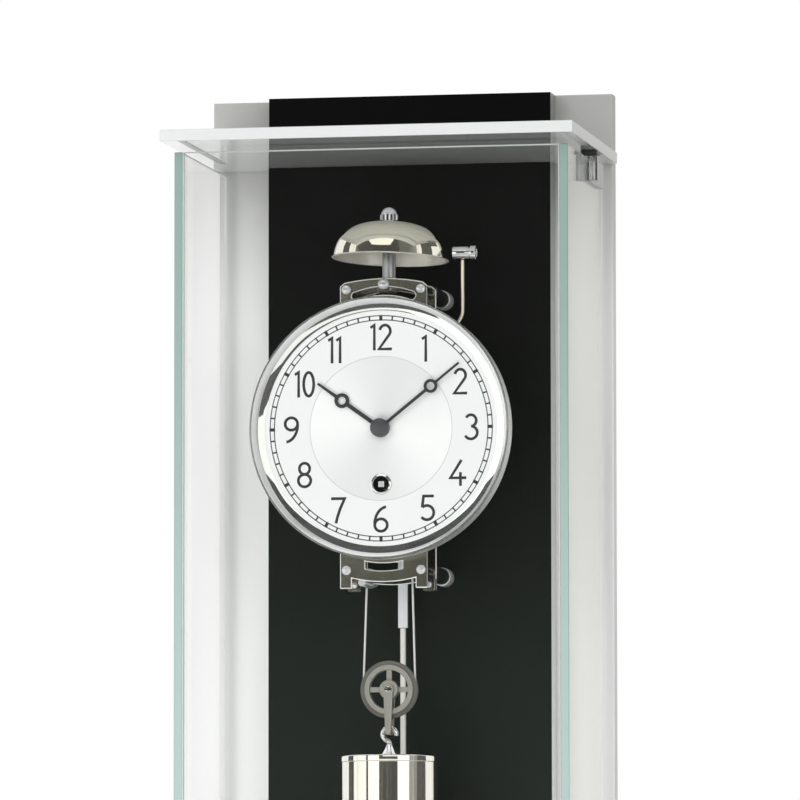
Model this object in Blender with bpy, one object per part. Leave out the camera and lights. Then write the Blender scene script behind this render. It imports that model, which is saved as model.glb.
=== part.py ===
"""Regulator wall clock: silver board, black panel, glass hood and a weight-driven movement with a bell.

Metres. X runs right, Y runs into the wall, Z runs up. The origin lies on the board's rear face, where it
meets the wall.
"""

import math

import bmesh
import bpy
from mathutils import Matrix, Vector

# Board, panel and the two shelves
board_width = 0.270
board_height = 0.880
board_thick = 0.012
mount_drop = 0.060
panel_width = 0.188
panel_thick = 0.018
panel_chamfer = 0.0012
shelf_width = 0.269
shelf_shift = 0.002
shelf_depth = 0.180
shelf_thick = 0.0075
shelf_inset = 0.039

# Clearances: between seated faces, round turning pieces, between the tips of two wheels
seat = 0.0003
running = 0.0005
tip_gap = 0.0003

# Hanger plate let into the back of the board
hanger_width = 0.060
hanger_height = 0.030
hanger_thick = 0.002
hanger_pocket = 0.007
hanger_rise = 0.030
keyhole_radius = 0.0045
keyhole_slot = 0.0025
keyhole_length = 0.009

# Glass hood
glass_thick = 0.0054
hood_inset = 0.00575
hood_depth = 0.1523
hood_back_gap = 0.0125
hood_end_gap = 0.0040

# Hood pivots
pivot_depth = 0.076
barrel_drop = 0.0034
barrel_radius = 0.0036
barrel_height = 0.0164
pivot_pin_radius = 0.0016
pivot_pin_length = 0.008
leaf_length = 0.050
leaf_thick = 0.0024
pivot_base_reach = 0.0072
pivot_base_depth = 0.012

# Movement frame, with heights measured from the dial's centre
dial_drop = 0.2285
post_length = 0.0533
post_radius = 0.0055
plate_thick = 0.0022
plate_gap = 0.0298
plate_half_width = 0.02875
plate_top = 0.0950
plate_arch = 0.0033
plate_bottom = 0.1030
plate_leg = 0.0078
plate_notch = 0.0067
plate_sag = 0.0026
slot_half = 0.0210
slot_height = 0.0052
slot_rise = 0.0868
window_half = 0.0122
window_height = 0.0047
window_rise = -0.0878
pillar_x = 0.0245
pillar_z = 0.0911
pillar_radius = 0.0036
lug_width = 0.0082
lug_thick = 0.0050

# Dial, bezel and grommet
bezel_radius = 0.0850
bezel_wall = 0.0020
bezel_depth = 0.0166
bezel_opening = 0.0774
dial_standoff = 0.0090
dial_thick = 0.0010
dial_bore = 0.0046
winding_drop = 0.0362
grommet_outer = 0.0065
grommet_inner = 0.0048
grommet_wall = 0.0007
grommet_proud = 0.0010

# Going train: tooth counts and centre distances
great_teeth = 72
intermediate_leaves = 9
intermediate_teeth = 45
centre_leaves = 10
centre_teeth = 60
third_leaves = 6
third_teeth = 48
escape_leaves = 6
escape_teeth = 30
great_distance = 0.0270
intermediate_distance = 0.0200
third_distance = 0.0187
escape_distance = 0.0153
third_side = 0.0110
escape_radius = 0.0125
pallet_gap = 0.0013
wheel_thick = 0.0016
pinion_length = 0.0034
tooth_depth = 0.0011
arbor_radius = 0.0011
great_arbor_radius = 0.0022
great_from_plate = 0.0048
cam_from_plate = 0.0018
intermediate_from_plate = 0.0045
third_from_plate = 0.0085
escape_from_plate = 0.0040
centre_from_middle = 0.0012
spoke_width = 0.0025
pallet_band = 0.0026
pallet_boss_radius = 0.0034

# Drum and cable
drum_radius = 0.0137
drum_flange = 0.0172
drum_length = 0.0126
drum_flange_thick = 0.0010
drum_from_plate = 0.0125
ratchet_radius = 0.0100
ratchet_teeth = 20
ratchet_thick = 0.0017
click_half_width = 0.0020
cable_radius = 0.0007
cable_turns = 4.5
cable_pitch = 0.0020
winding_square = 0.0036

# Motion work and hands
cannon_leaves = 12
minute_teeth = 36
minute_leaves = 10
hour_teeth = 40
motion_distance = 0.0160
motion_side = 0.0068
motion_wheel_thick = 0.0012
motion_first = 0.0028
motion_second = 0.0020
cannon_bore = 0.0016
cannon_pipe = 0.0022
hour_bore = 0.0026
hour_pipe = 0.0035
hour_hand_length = 0.0507
hour_ring_at = 0.0312
hour_ring = 0.0048
minute_hand_length = 0.0662
minute_ring_at = 0.0425
minute_ring = 0.0045
ring_hole = 0.0028
hand_half_width = 0.0011
hand_thick = 0.0010
hub_radius = 0.0060
hub_nut_thick = 0.0024
hub_nut_roof = 0.0004
hub_nut_dome = 0.0010
hour_hand_clear = 0.0020
hand_step = 0.0019
hour_angle = 305.5
minute_angle = 51.4

# Bell and hammer
bell_bridge_rise = 0.0944
bell_bridge_half = 0.0045
bell_post_radius = 0.00445
bell_spigot = 0.0025
bell_rim_rise = 0.1123
bell_radius = 0.0388
bell_height = 0.0262
bell_wall = 0.0018
bell_lip = 0.0024
bell_flare = 0.0011
bell_round = 2.35
bell_setback = 0.0029
bell_nut_radius = 0.0056
bell_nut_height = 0.0081
hammer_x = 0.0224
hammer_z = 0.0354
hammer_knee_x = 0.0490
hammer_knee_z = 0.0748
hammer_head_z = 0.1154
hammer_head_start = 0.0428
hammer_head_length = 0.0153
hammer_head_radius = 0.0043
hammer_collar_length = 0.0052
hammer_collar_radius = 0.0048
hammer_wire_radius = 0.0012
hammer_wire_bend = 0.0040
hammer_edge = 0.0005
hammer_boss_radius = 0.0032
hammer_boss_length = 0.0060
strike_cam_radius = 0.0062
tail_half_width = 0.0014
tail_corner_x = -0.0095
tail_end_z = 0.0030

# Weight, pulley and hook, with heights measured down from the pulley's axle
pulley_hang = 0.1675
pulley_radius = 0.0187
pulley_groove = 0.0161
pulley_rim_inner = 0.0127
pulley_thick = 0.0060
pulley_web = 0.0024
pulley_hub = 0.0062
pulley_hub_length = 0.0070
pulley_spoke = 0.0035
axle_radius = 0.0017
axle_head = 0.0031
axle_head_proud = 0.0010
strap_half_width = 0.0019
strap_thick = 0.0012
hook_pin_drop = 0.0276
hook_pin_radius = 0.0013
hook_wire = 0.0016
hook_ring = 0.0044
weight_hang = 0.0430
weight_radius = 0.0313
weight_length = 0.1700
weight_edge = 0.0010
hook_base_radius = 0.0052
hook_base_height = 0.0082
hook_base_rim = 0.0012
anchor_x = 0.0149
anchor_drop = 0.0988
anchor_radius = 0.0025

# Pendulum
pendulum_clear = 0.0200
bob_rise = 0.0895
spring_width = 0.0080
spring_thick = 0.0004
spring_length = 0.0100
leader_width = 0.0061
leader_thick = 0.0024
leader_end_drop = 0.1247
rod_radius = 0.0019
bob_radius = 0.0550
bob_thick = 0.0140
bob_edge = 0.0030
rating_nut_radius = 0.0050
rating_nut_height = 0.0050
rod_tail = 0.0160
crutch_length = 0.0620
crutch_half_width = 0.0020
crutch_hub = 0.0034
crutch_pin_radius = 0.0010
crutch_thick = 0.0020
crutch_from_plate = 0.0030
crutch_slot_half = 0.0040
cock_half_width = 0.0050
cock_reach = 0.0040
cock_height = 0.0070

# Planes and centres that follow from the sizes above
top_z = mount_drop
bottom_z = top_z - board_height
board_front = -board_thick
panel_front = board_front - panel_thick
shelf_front = board_front - shelf_depth
shelf_under_z = top_z - shelf_inset - shelf_thick
shelf_over_z = bottom_z + shelf_inset + shelf_thick
hood_width = shelf_width - 2 * hood_inset
hood_front = board_front - hood_depth
hood_back = board_front - hood_back_gap
hood_top = shelf_under_z - hood_end_gap
hood_bottom = shelf_over_z + hood_end_gap
pivot_x = hood_width / 2 + seat + barrel_radius
pivot_y = board_front - pivot_depth

dial_z = top_z - dial_drop
back_plate_back = panel_front - post_length
back_plate_front = back_plate_back - plate_thick
front_plate_back = back_plate_front - plate_gap
front_plate_front = front_plate_back - plate_thick
bezel_back = front_plate_front - seat
dial_front = front_plate_front - dial_standoff
dial_back = dial_front + dial_thick
dial_radius = bezel_radius - bezel_wall - seat
movement_middle = (front_plate_back + back_plate_front) / 2
bell_y = movement_middle + bell_setback
hour_hand_front = dial_front - hour_hand_clear
minute_hand_front = hour_hand_front - hand_step
nut_seat = minute_hand_front - seat
nut_front = nut_seat - hub_nut_thick

drum_y = back_plate_front - drum_from_plate
drum_z = dial_z - winding_drop
cable_line = drum_radius + seat + cable_radius
wrap_line = pulley_groove + seat + cable_radius
pulley_z = dial_z - pulley_hang
pendulum_y = panel_front - pendulum_clear


def meeting_point(reach_a, reach_b, span):
    """Offset to the left of, and drop along, a vertical span where two radii from its ends meet."""
    drop = (reach_a**2 - reach_b**2 + span**2) / (2 * span)
    return math.sqrt(reach_a**2 - drop**2), drop


side, drop = meeting_point(intermediate_distance, great_distance, winding_drop)
intermediate_x = -side
intermediate_z = dial_z - drop
third_z = dial_z + math.sqrt(third_distance**2 - third_side**2)
escape_z = third_z + math.sqrt(escape_distance**2 - third_side**2)
anchor_z = escape_z + escape_radius * math.sqrt(2)
minute_wheel_x = math.sqrt(motion_distance**2 - motion_side**2)
minute_wheel_z = dial_z + motion_side
bob_z = shelf_over_z + bob_rise

for item in list(bpy.data.objects):
    bpy.data.objects.remove(item, do_unlink=True)


def make_finish(name, colour, roughness, metallic):
    finish = bpy.data.materials.new(name)
    finish.use_nodes = True
    shader = finish.node_tree.nodes["Principled BSDF"]
    shader.inputs["Base Color"].default_value = (*colour, 1.0)
    shader.inputs["Roughness"].default_value = roughness
    shader.inputs["Metallic"].default_value = metallic
    return finish


silver = make_finish("silver_lacquer", (0.52, 0.52, 0.51), 0.45, 0.6)
black = make_finish("black_lacquer", (0.008, 0.009, 0.008), 0.30, 0.0)
white = make_finish("white_gloss", (0.82, 0.83, 0.83), 0.15, 0.0)
clear = make_finish("clear_glass", (0.75, 0.86, 0.82), 0.03, 0.0)
chrome = make_finish("chrome", (0.75, 0.76, 0.77), 0.08, 1.0)
nickel = make_finish("nickel", (0.55, 0.54, 0.50), 0.22, 1.0)
steel = make_finish("steel", (0.50, 0.50, 0.49), 0.30, 1.0)
brass = make_finish("brass", (0.72, 0.52, 0.22), 0.28, 1.0)
dial_paint = make_finish("dial_silver_white", (0.80, 0.81, 0.81), 0.40, 0.0)
hand_paint = make_finish("hand_charcoal", (0.05, 0.05, 0.055), 0.45, 0.2)
leader_paint = make_finish("leader_white", (0.70, 0.73, 0.73), 0.45, 0.0)


def new_object(name, bm, finish, sharp=35):
    """Turns a bmesh into an object whose place is in its mesh, shaded smooth up to an angle."""
    bmesh.ops.recalc_face_normals(bm, faces=bm.faces[:])
    mesh = bpy.data.meshes.new(name)
    bm.to_mesh(mesh)
    bm.free()
    mesh.shade_smooth()
    mesh.set_sharp_from_angle(angle=math.radians(sharp))
    mesh.materials.append(finish)
    obj = bpy.data.objects.new(name, mesh)
    bpy.context.scene.collection.objects.link(obj)
    return obj


def box(name, low, high, finish):
    bm = bmesh.new()
    bmesh.ops.create_cube(bm, size=1.0)
    low, high = Vector(low), Vector(high)
    bmesh.ops.transform(bm, matrix=Matrix.LocRotScale((low + high) / 2, None, high - low), verts=bm.verts[:])
    return new_object(name, bm, finish)


def turned(name, profile, centre, axis, finish, segments=24):
    """A turned piece: the profile lists (radius, place along the axis) and closes on itself or the axis."""
    turn = Vector((0, 0, 1)).rotation_difference(Vector(axis)).to_matrix().to_4x4()
    place = Matrix.Translation(Vector(centre)) @ turn
    bm = bmesh.new()
    rings = []
    for radius, along in profile:
        if radius == 0:
            rings.append([bm.verts.new(place @ Vector((0, 0, along)))])
            continue
        angles = [2 * math.pi * k / segments for k in range(segments)]
        points = [Vector((radius * math.cos(a), radius * math.sin(a), along)) for a in angles]
        rings.append([bm.verts.new(place @ point) for point in points])
    open_ended = profile[0][0] == 0 and profile[-1][0] == 0
    last = len(rings) - 1 if open_ended else len(rings)
    for i in range(last):
        one, two = rings[i], rings[(i + 1) % len(rings)]
        for k in range(segments):
            n = (k + 1) % segments
            if len(one) == 1:
                bm.faces.new((one[0], two[n], two[k]))
            elif len(two) == 1:
                bm.faces.new((one[k], one[n], two[0]))
            else:
                bm.faces.new((one[k], one[n], two[n], two[k]))
    return new_object(name, bm, finish)


def rod(name, radius, start, end, axis, finish, segments=16):
    """A plain turned bar between two places along an axis through the point given by the other two."""
    profile = [(0, start), (radius, start), (radius, end), (0, end)]
    centre, direction = axis
    return turned(name, profile, centre, direction, finish, segments)


def slab(name, loops, spread, start, thick, finish, sharp=35):
    """An outline with holes, laid in a plane by the spread function, from start through a thickness."""
    bm = bmesh.new()
    for loop in loops:
        verts = [bm.verts.new(spread(u, v, start)) for u, v in loop]
        for k, vert in enumerate(verts):
            bm.edges.new((vert, verts[(k + 1) % len(verts)]))
    bmesh.ops.triangle_fill(bm, use_beauty=True, edges=bm.edges[:])
    made = bmesh.ops.extrude_face_region(bm, geom=bm.faces[:])
    moved = [item for item in made["geom"] if isinstance(item, bmesh.types.BMVert)]
    shift = Vector(spread(0, 0, start + thick)) - Vector(spread(0, 0, start))
    bmesh.ops.translate(bm, vec=shift, verts=moved)
    return new_object(name, bm, finish, sharp)


def facing(u, v, w):
    return Vector((u, w, v))


def flat(u, v, w):
    return Vector((u, v, w))


def edgewise(u, v, w):
    return Vector((w, u, v))


def tube(name, points, radius, finish, bevel_resolution=2):
    """A round cord or wire through points, as a closed mesh."""
    curve = bpy.data.curves.new(name, "CURVE")
    curve.dimensions = "3D"
    curve.bevel_depth = radius
    curve.bevel_resolution = bevel_resolution
    curve.use_fill_caps = True
    spline = curve.splines.new("POLY")
    spline.points.add(len(points) - 1)
    for point, place in zip(spline.points, points):
        point.co = (*place, 1.0)
    draft = bpy.data.objects.new(name + "_draft", curve)
    bpy.context.scene.collection.objects.link(draft)
    bm = bmesh.new()
    bm.from_mesh(draft.evaluated_get(bpy.context.evaluated_depsgraph_get()).to_mesh())
    bmesh.ops.remove_doubles(bm, verts=bm.verts[:], dist=1e-6)
    bpy.data.objects.remove(draft, do_unlink=True)
    return new_object(name, bm, finish, sharp=60)


def combine(target, other, operation):
    """Joins another shape to a piece, or cuts it out, and hides the helper."""
    modifier = target.modifiers.new(other.name, "BOOLEAN")
    modifier.object = other
    modifier.operation = operation
    other.hide_render = True
    other.display_type = "WIRE"
    return target


def add(target, *others):
    for other in others:
        combine(target, other, "UNION")
    return target


def cut(target, *others):
    for other in others:
        combine(target, other, "DIFFERENCE")
    return target


def circle(u, v, radius, points=20, start=0.0):
    angles = [start + 2 * math.pi * k / points for k in range(points)]
    return [(u + radius * math.cos(a), v + radius * math.sin(a)) for a in angles]


def rectangle(u0, v0, u1, v1):
    return [(u0, v0), (u1, v0), (u1, v1), (u0, v1)]


def arc(u, v, radius, first, last, points):
    steps = [math.radians(first + (last - first) * k / (points - 1)) for k in range(points)]
    return [(u + radius * math.cos(a), v + radius * math.sin(a)) for a in steps]


def toothed(u, v, tip, teeth, depth=tooth_depth):
    """A wheel's outline: one narrow tip and one root for each tooth."""
    outline = []
    for k in range(2 * teeth):
        radius = tip if k % 2 == 0 else tip - depth
        angle = math.pi * k / teeth
        outline.append((u + radius * math.cos(angle), v + radius * math.sin(angle)))
    return outline


def crossings(u, v, inner, outer, count, spoke):
    """The windows between a wheel's spokes."""
    loops = []
    for k in range(count):
        first = 360 * k / count
        last = 360 * (k + 1) / count
        trim_out = math.degrees(math.asin(spoke / 2 / outer))
        trim_in = math.degrees(math.asin(spoke / 2 / inner))
        loop = arc(u, v, outer, first + trim_out, last - trim_out, 5)
        loops.append(loop + arc(u, v, inner, last - trim_in, first + trim_in, 3))
    return loops


def carry(name, place, pieces):
    """Hangs the pieces of one moving body on an empty that stands on its joint's axis."""
    empty = bpy.data.objects.new(name, None)
    empty.location = place
    bpy.context.scene.collection.objects.link(empty)
    for piece in pieces:
        piece.parent = empty
        piece.matrix_parent_inverse = Matrix.Translation(Vector(place)).inverted()
    return empty


back = (0, 1, 0)
up = (0, 0, 1)
right = (1, 0, 0)


def make_board():
    board = box(
        "backboard", (-board_width / 2, board_front, bottom_z), (board_width / 2, 0, top_z), silver
    )
    half = hanger_width / 2
    low = hanger_rise - hanger_height / 2
    high = hanger_rise + hanger_height / 2
    pocket = box(
        "hanger_pocket", (-half - seat, -hanger_pocket, low - seat), (half + seat, seat, high + seat), silver
    )
    cut(board, pocket)
    slot = keyhole_slot
    bend = math.degrees(math.asin(slot / keyhole_radius))
    centre = hanger_rise - keyhole_length / 2
    top = centre + keyhole_length
    keyhole = arc(0, centre, keyhole_radius, 90 + bend, 450 - bend, 15)
    keyhole += arc(0, top, slot, 0, 180, 7)
    loops = [rectangle(-half, low, half, high), keyhole]
    slab("hanger_plate", loops, facing, -hanger_thick, hanger_thick, steel)


def make_panel():
    panel = box(
        "black_panel",
        (-panel_width / 2, panel_front, bottom_z),
        (panel_width / 2, board_front - seat, top_z),
        black,
    )
    bevel = panel.modifiers.new("chamfer", "BEVEL")
    bevel.width = panel_chamfer
    bevel.segments = 1


def make_shelf(name, low):
    left = shelf_shift - shelf_width / 2
    right_edge = shelf_shift + shelf_width / 2
    notch = panel_width / 2 + seat
    rear = board_front - seat
    outline = [(left, shelf_front), (right_edge, shelf_front), (right_edge, rear), (notch, rear)]
    outline += [(notch, panel_front - seat), (-notch, panel_front - seat), (-notch, rear), (left, rear)]
    slab(name, [outline], flat, low, shelf_thick, white)


def make_hood():
    half = hood_width / 2
    inner = half - glass_thick
    left = box("glass_left", (-half, hood_front, hood_bottom), (-inner, hood_back, hood_top), clear)
    right_pane = box("glass_right", (inner, hood_front, hood_bottom), (half, hood_back, hood_top), clear)
    front = box(
        "glass_front",
        (-inner + seat, hood_front, hood_bottom),
        (inner - seat, hood_front + glass_thick, hood_top),
        clear,
    )
    clamps = [
        make_pivot("top", shelf_under_z, -1),
        make_pivot("bottom", shelf_over_z, 1),
    ]
    carry("hood_axis", (pivot_x, pivot_y, 0), [left, right_pane, front, *clamps])


def make_pivot(end, shelf_z, way):
    """One pivot: a base and pin on the shelf, and the leaf and barrel clamped on the right pane."""
    base_far = shelf_z + way * (barrel_drop - running)
    base_near = shelf_z + way * seat
    base = box(
        "hinge_base_" + end,
        (pivot_x - pivot_base_reach, pivot_y - pivot_base_depth / 2, min(base_near, base_far)),
        (pivot_x + barrel_radius, pivot_y + pivot_base_depth / 2, max(base_near, base_far)),
        chrome,
    )
    pin_start = (base_near + base_far) / 2
    pin_end = base_far + way * pivot_pin_length
    spot = (pivot_x, pivot_y, 0)
    pin = rod("pivot_pin_" + end, pivot_pin_radius, pin_start, pin_end, (spot, up), chrome)
    add(base, pin)

    mouth = shelf_z + way * barrel_drop
    foot = mouth + way * barrel_height
    bore_end = pin_end + way * running
    bore = pivot_pin_radius + seat
    profile = [(0, foot), (barrel_radius, foot), (barrel_radius, mouth), (bore, mouth), (bore, bore_end)]
    barrel = turned("hinge_clamp_" + end, profile + [(0, bore_end)], spot, up, chrome, 20)
    leaf = box(
        "clamp_leaf_" + end,
        (hood_width / 2 + seat, pivot_y + bore + seat, min(mouth, foot)),
        (hood_width / 2 + seat + leaf_thick, pivot_y + leaf_length, max(mouth, foot)),
        chrome,
    )
    return add(barrel, leaf)


def plate_outline():
    """A movement plate: arched head, two legs, and a lower bar that sags between them."""
    half, leg = plate_half_width, plate_half_width - plate_leg
    span = 9
    outline = [(-half, dial_z - plate_bottom), (-leg, dial_z - plate_bottom)]
    for k in range(span):
        t = 2 * k / (span - 1) - 1
        drop = plate_bottom - plate_notch + plate_sag * (1 - t * t)
        outline.append((t * leg, dial_z - drop))
    outline += [(leg, dial_z - plate_bottom), (half, dial_z - plate_bottom)]
    for k in range(span):
        t = 1 - 2 * k / (span - 1)
        outline.append((t * half, dial_z + plate_top + plate_arch * (1 - t * t)))
    return outline


def arched_slot(half, height, rise, bow):
    """A slot whose long sides follow the plate's arch."""
    loop = []
    for sign in (1, -1):
        for k in range(7):
            t = sign * (2 * k / 6 - 1)
            loop.append((t * half, dial_z + rise - sign * height / 2 + bow * (1 - t * t)))
    return loop


def plate_windows():
    upper = arched_slot(slot_half, slot_height, slot_rise, plate_arch)
    lower = arched_slot(window_half, window_height, window_rise, -plate_sag / 2)
    return [upper, lower]


def make_frame():
    great_hole = circle(0, drum_z, great_arbor_radius + running)
    centre_hole = circle(0, dial_z, arbor_radius + running)
    front_loops = [plate_outline(), *plate_windows(), great_hole, centre_hole]
    slab("front_plate", front_loops, facing, front_plate_front, plate_thick, nickel)
    pallet_hole = circle(0, anchor_z, arbor_radius + running)
    rear = slab(
        "back_plate",
        [plate_outline(), *plate_windows(), pallet_hole],
        facing,
        back_plate_front,
        plate_thick,
        nickel,
    )
    lug_low = dial_z - plate_bottom
    lug_high = dial_z - pillar_z - pillar_radius - running
    for place, x in (("left", -plate_half_width), ("right", plate_half_width - lug_width)):
        lug = box(
            "seat_lug_" + place,
            (x, back_plate_front - lug_thick, lug_low),
            (x + lug_width, back_plate_front + plate_thick / 2, lug_high),
            nickel,
        )
        add(rear, lug)
    for height, z in (("top", dial_z + pillar_z), ("bottom", dial_z - pillar_z)):
        for place, x in (("left", -pillar_x), ("right", pillar_x)):
            spot = (x, 0, z)
            rod(
                f"pillar_{height}_{place}",
                pillar_radius,
                front_plate_back + seat,
                back_plate_front - seat,
                (spot, back),
                nickel,
            )
            rod(
                f"mounting_post_{height}_{place}",
                post_radius,
                back_plate_back + seat,
                panel_front - seat,
                (spot, back),
                chrome,
                20,
            )


def make_dial():
    winding_hole = grommet_inner + grommet_wall + seat
    loops = [
        circle(0, dial_z, dial_radius, 40),
        circle(0, dial_z, dial_bore),
        circle(0, drum_z, winding_hole),
    ]
    slab("dial", loops, facing, dial_front, dial_thick, dial_paint)
    lip = bezel_back - (dial_front - seat)
    crown = bezel_radius - bezel_opening
    inner = bezel_radius - bezel_wall
    profile = [(bezel_radius, 0), (bezel_radius, bezel_depth * 0.87)]
    for k in range(5):
        a = math.radians(20 + 140 * k / 4)
        radius = bezel_opening + crown / 2 + crown / 2 * math.cos(a)
        profile.append((radius, bezel_depth * 0.87 + bezel_depth * 0.13 * math.sin(a)))
    profile += [(bezel_opening, lip), (inner, lip), (inner, 0)]
    turned("bezel", profile, (0, bezel_back, dial_z), (0, -1, 0), chrome, 40)
    ring = [(grommet_inner, -dial_thick - seat), (grommet_inner + grommet_wall, -dial_thick - seat)]
    ring += [(grommet_inner + grommet_wall, seat), (grommet_outer, seat)]
    ring += [(grommet_outer - grommet_wall, grommet_proud), (grommet_inner, grommet_proud)]
    turned("winding_grommet", ring, (0, dial_front, drum_z), (0, -1, 0), chrome, 24)


def wheel_tip(distance, teeth, leaves):
    return distance * teeth / (teeth + leaves) - tip_gap / 2


def pinion_tip(distance, teeth, leaves):
    return distance * leaves / (teeth + leaves) - tip_gap / 2


def pinion(name, x, z, tip, leaves, mate_y, finish):
    """A pinion that stands out evenly on both sides of the wheel it meets."""
    depth = min(tooth_depth, 0.35 * tip)
    start = mate_y + (wheel_thick - pinion_length) / 2
    return slab(name, [toothed(x, z, tip, leaves, depth)], facing, start, pinion_length, finish)


def arbor(name, x, z, finish=steel, start=front_plate_back + seat, end=back_plate_front - seat):
    return rod(name, arbor_radius, start, end, ((x, 0, z), back), finish, 12)


great_y = front_plate_back + great_from_plate
intermediate_y = back_plate_front - intermediate_from_plate
centre_y = movement_middle + centre_from_middle
third_y = back_plate_front - third_from_plate
escape_y = back_plate_front - escape_from_plate
cam_y = front_plate_back + cam_from_plate


def make_drum():
    """The drum with its flanges, ratchet and square winding arbor, and the cable wound on it."""
    half = drum_length / 2
    flange = half + drum_flange_thick
    front_end = drum_y - front_plate_front + seat
    rear_end = back_plate_front - seat - drum_y
    profile = [(0, front_end), (great_arbor_radius, front_end)]
    profile += [(great_arbor_radius, flange), (drum_flange, flange), (drum_flange, half), (drum_radius, half)]
    profile += [(drum_radius, -half), (drum_flange, -half), (drum_flange, -flange)]
    profile += [(great_arbor_radius, -flange), (great_arbor_radius, -rear_end), (0, -rear_end)]
    drum = turned("winding_drum", profile, (0, drum_y, drum_z), (0, -1, 0), brass)
    ratchet_front = drum_y - flange - ratchet_thick
    loop = toothed(0, drum_z, ratchet_radius, ratchet_teeth)
    ratchet = slab("drum_ratchet", [loop], facing, ratchet_front, ratchet_thick + seat, steel)
    s = winding_square / 2
    square = box(
        "winding_square",
        (-s, dial_back, drum_z - s),
        (s, drum_y - front_end + plate_thick, drum_z + s),
        steel,
    )
    add(drum, ratchet, square)

    points = []
    steps = 16
    count = int(cable_turns * steps)
    rear = drum_y + half - cable_radius - running
    for k in range(count + 1):
        angle = -2 * math.pi * (count - k) / steps
        place = rear - cable_pitch * k / steps
        points.append((cable_line * math.cos(angle), place, drum_z - cable_line * math.sin(angle)))
    exit_y = points[-1][1]
    points.append((cable_line, exit_y, drum_z - 2 * cable_radius))
    winding = tube("cable_winding", points, cable_radius, steel, 1)
    gap = cable_pitch - 2 * cable_radius
    print(f"cable winding: least gap to itself {gap * 1000:.2f} mm")
    carry("drum_axis", (0, 0, drum_z), [drum, winding])

    tip = wheel_tip(great_distance, great_teeth, intermediate_leaves)
    loops = [toothed(0, drum_z, tip, great_teeth), circle(0, drum_z, great_arbor_radius + running)]
    loops += crossings(0, drum_z, tip * 0.68, tip * 0.88, 5, 1.2 * spoke_width)
    great = slab("great_wheel", loops, facing, great_y, wheel_thick, brass)
    click = box(
        "great_click",
        (ratchet_radius + running, great_y + wheel_thick / 2, drum_z - click_half_width),
        (tip * 0.66, drum_y - flange - seat, drum_z + click_half_width),
        steel,
    )
    add(great, click)
    carry("great_wheel_axis", (0, 0, drum_z), [great])
    return exit_y


def make_train():
    x, z = intermediate_x, intermediate_z
    wheel = arbor("intermediate_wheel", x, z)
    tip = wheel_tip(intermediate_distance, intermediate_teeth, centre_leaves)
    loops = [toothed(x, z, tip, intermediate_teeth), *crossings(x, z, tip * 0.35, tip * 0.80, 4, spoke_width)]
    leaf = pinion_tip(great_distance, great_teeth, intermediate_leaves)
    add(
        wheel,
        slab("intermediate_disc", loops, facing, intermediate_y, wheel_thick, brass),
        pinion("intermediate_pinion", x, z, leaf, intermediate_leaves, great_y, steel),
    )
    carry("intermediate_axis", (x, 0, z), [wheel])

    tip = wheel_tip(third_distance, centre_teeth, third_leaves)
    leaf = pinion_tip(intermediate_distance, intermediate_teeth, centre_leaves)
    wheel = arbor("centre_wheel", 0, dial_z, steel, nut_front + hub_nut_roof + running)
    loops = [toothed(0, dial_z, tip, centre_teeth), *crossings(0, dial_z, tip * 0.35, tip * 0.80, 4, spoke_width)]
    add(
        wheel,
        slab("centre_disc", loops, facing, centre_y, wheel_thick, brass),
        pinion("centre_pinion", 0, dial_z, leaf, centre_leaves, intermediate_y, steel),
        slab("strike_cam", [circle(0, dial_z, strike_cam_radius, 24)], facing, cam_y, wheel_thick, brass),
    )
    carry("centre_axis", (0, 0, dial_z), [wheel])

    x, z = third_side, third_z
    tip = wheel_tip(escape_distance, third_teeth, escape_leaves)
    leaf = pinion_tip(third_distance, centre_teeth, third_leaves)
    wheel = arbor("third_wheel", x, z)
    loops = [toothed(x, z, tip, third_teeth), *crossings(x, z, tip * 0.35, tip * 0.80, 4, spoke_width)]
    add(
        wheel,
        slab("third_disc", loops, facing, third_y, wheel_thick, brass),
        pinion("third_pinion", x, z, leaf, third_leaves, centre_y, steel),
    )
    carry("third_axis", (x, 0, z), [wheel])

    leaf = pinion_tip(escape_distance, third_teeth, escape_leaves)
    wheel = arbor("escape_wheel", 0, escape_z)
    rim = toothed(0, escape_z, escape_radius, escape_teeth, 2 * tooth_depth)
    loops = [rim, *crossings(0, escape_z, escape_radius * 0.3, escape_radius * 0.7, 4, 0.8 * spoke_width)]
    add(
        wheel,
        slab("escape_disc", loops, facing, escape_y, wheel_thick, brass),
        pinion("escape_pinion", 0, escape_z, leaf, escape_leaves, third_y, steel),
    )
    carry("escape_axis", (0, 0, escape_z), [wheel])


def make_escapement():
    """The pallets on their arbor, and the crutch that leads the pendulum."""
    crutch_front = back_plate_back + crutch_from_plate
    anchor = arbor("pallet_anchor", 0, anchor_z, end=crutch_front + crutch_thick + running)
    inner = escape_radius + pallet_gap
    outer = inner + pallet_band
    loop = arc(0, escape_z, outer, 32, 148, 13) + arc(0, escape_z, inner, 148, 32, 13)
    arch = slab("pallet_arch", [loop], facing, escape_y, wheel_thick, steel)
    ring = circle(0, anchor_z, pallet_boss_radius)
    boss = slab("pallet_boss", [ring], facing, escape_y - seat, wheel_thick, steel)
    add(anchor, arch, boss)

    low = anchor_z - crutch_length
    half = crutch_half_width
    loop = arc(0, anchor_z, crutch_hub, -54, 234, 13)
    loop += [(-half, low), (half, low)]
    hole = circle(0, anchor_z, arbor_radius + seat, 12)
    crutch = slab("crutch", [loop, hole], facing, crutch_front, crutch_thick, steel)
    pin_z = low + 2 * crutch_pin_radius
    reach = pendulum_y + leader_thick
    root = crutch_front + crutch_thick / 2
    add(crutch, rod("crutch_pin", crutch_pin_radius, root, reach, ((0, 0, pin_z), back), steel, 10))
    carry("pallet_axis", (0, 0, anchor_z), [anchor, crutch])
    return pin_z


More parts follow.
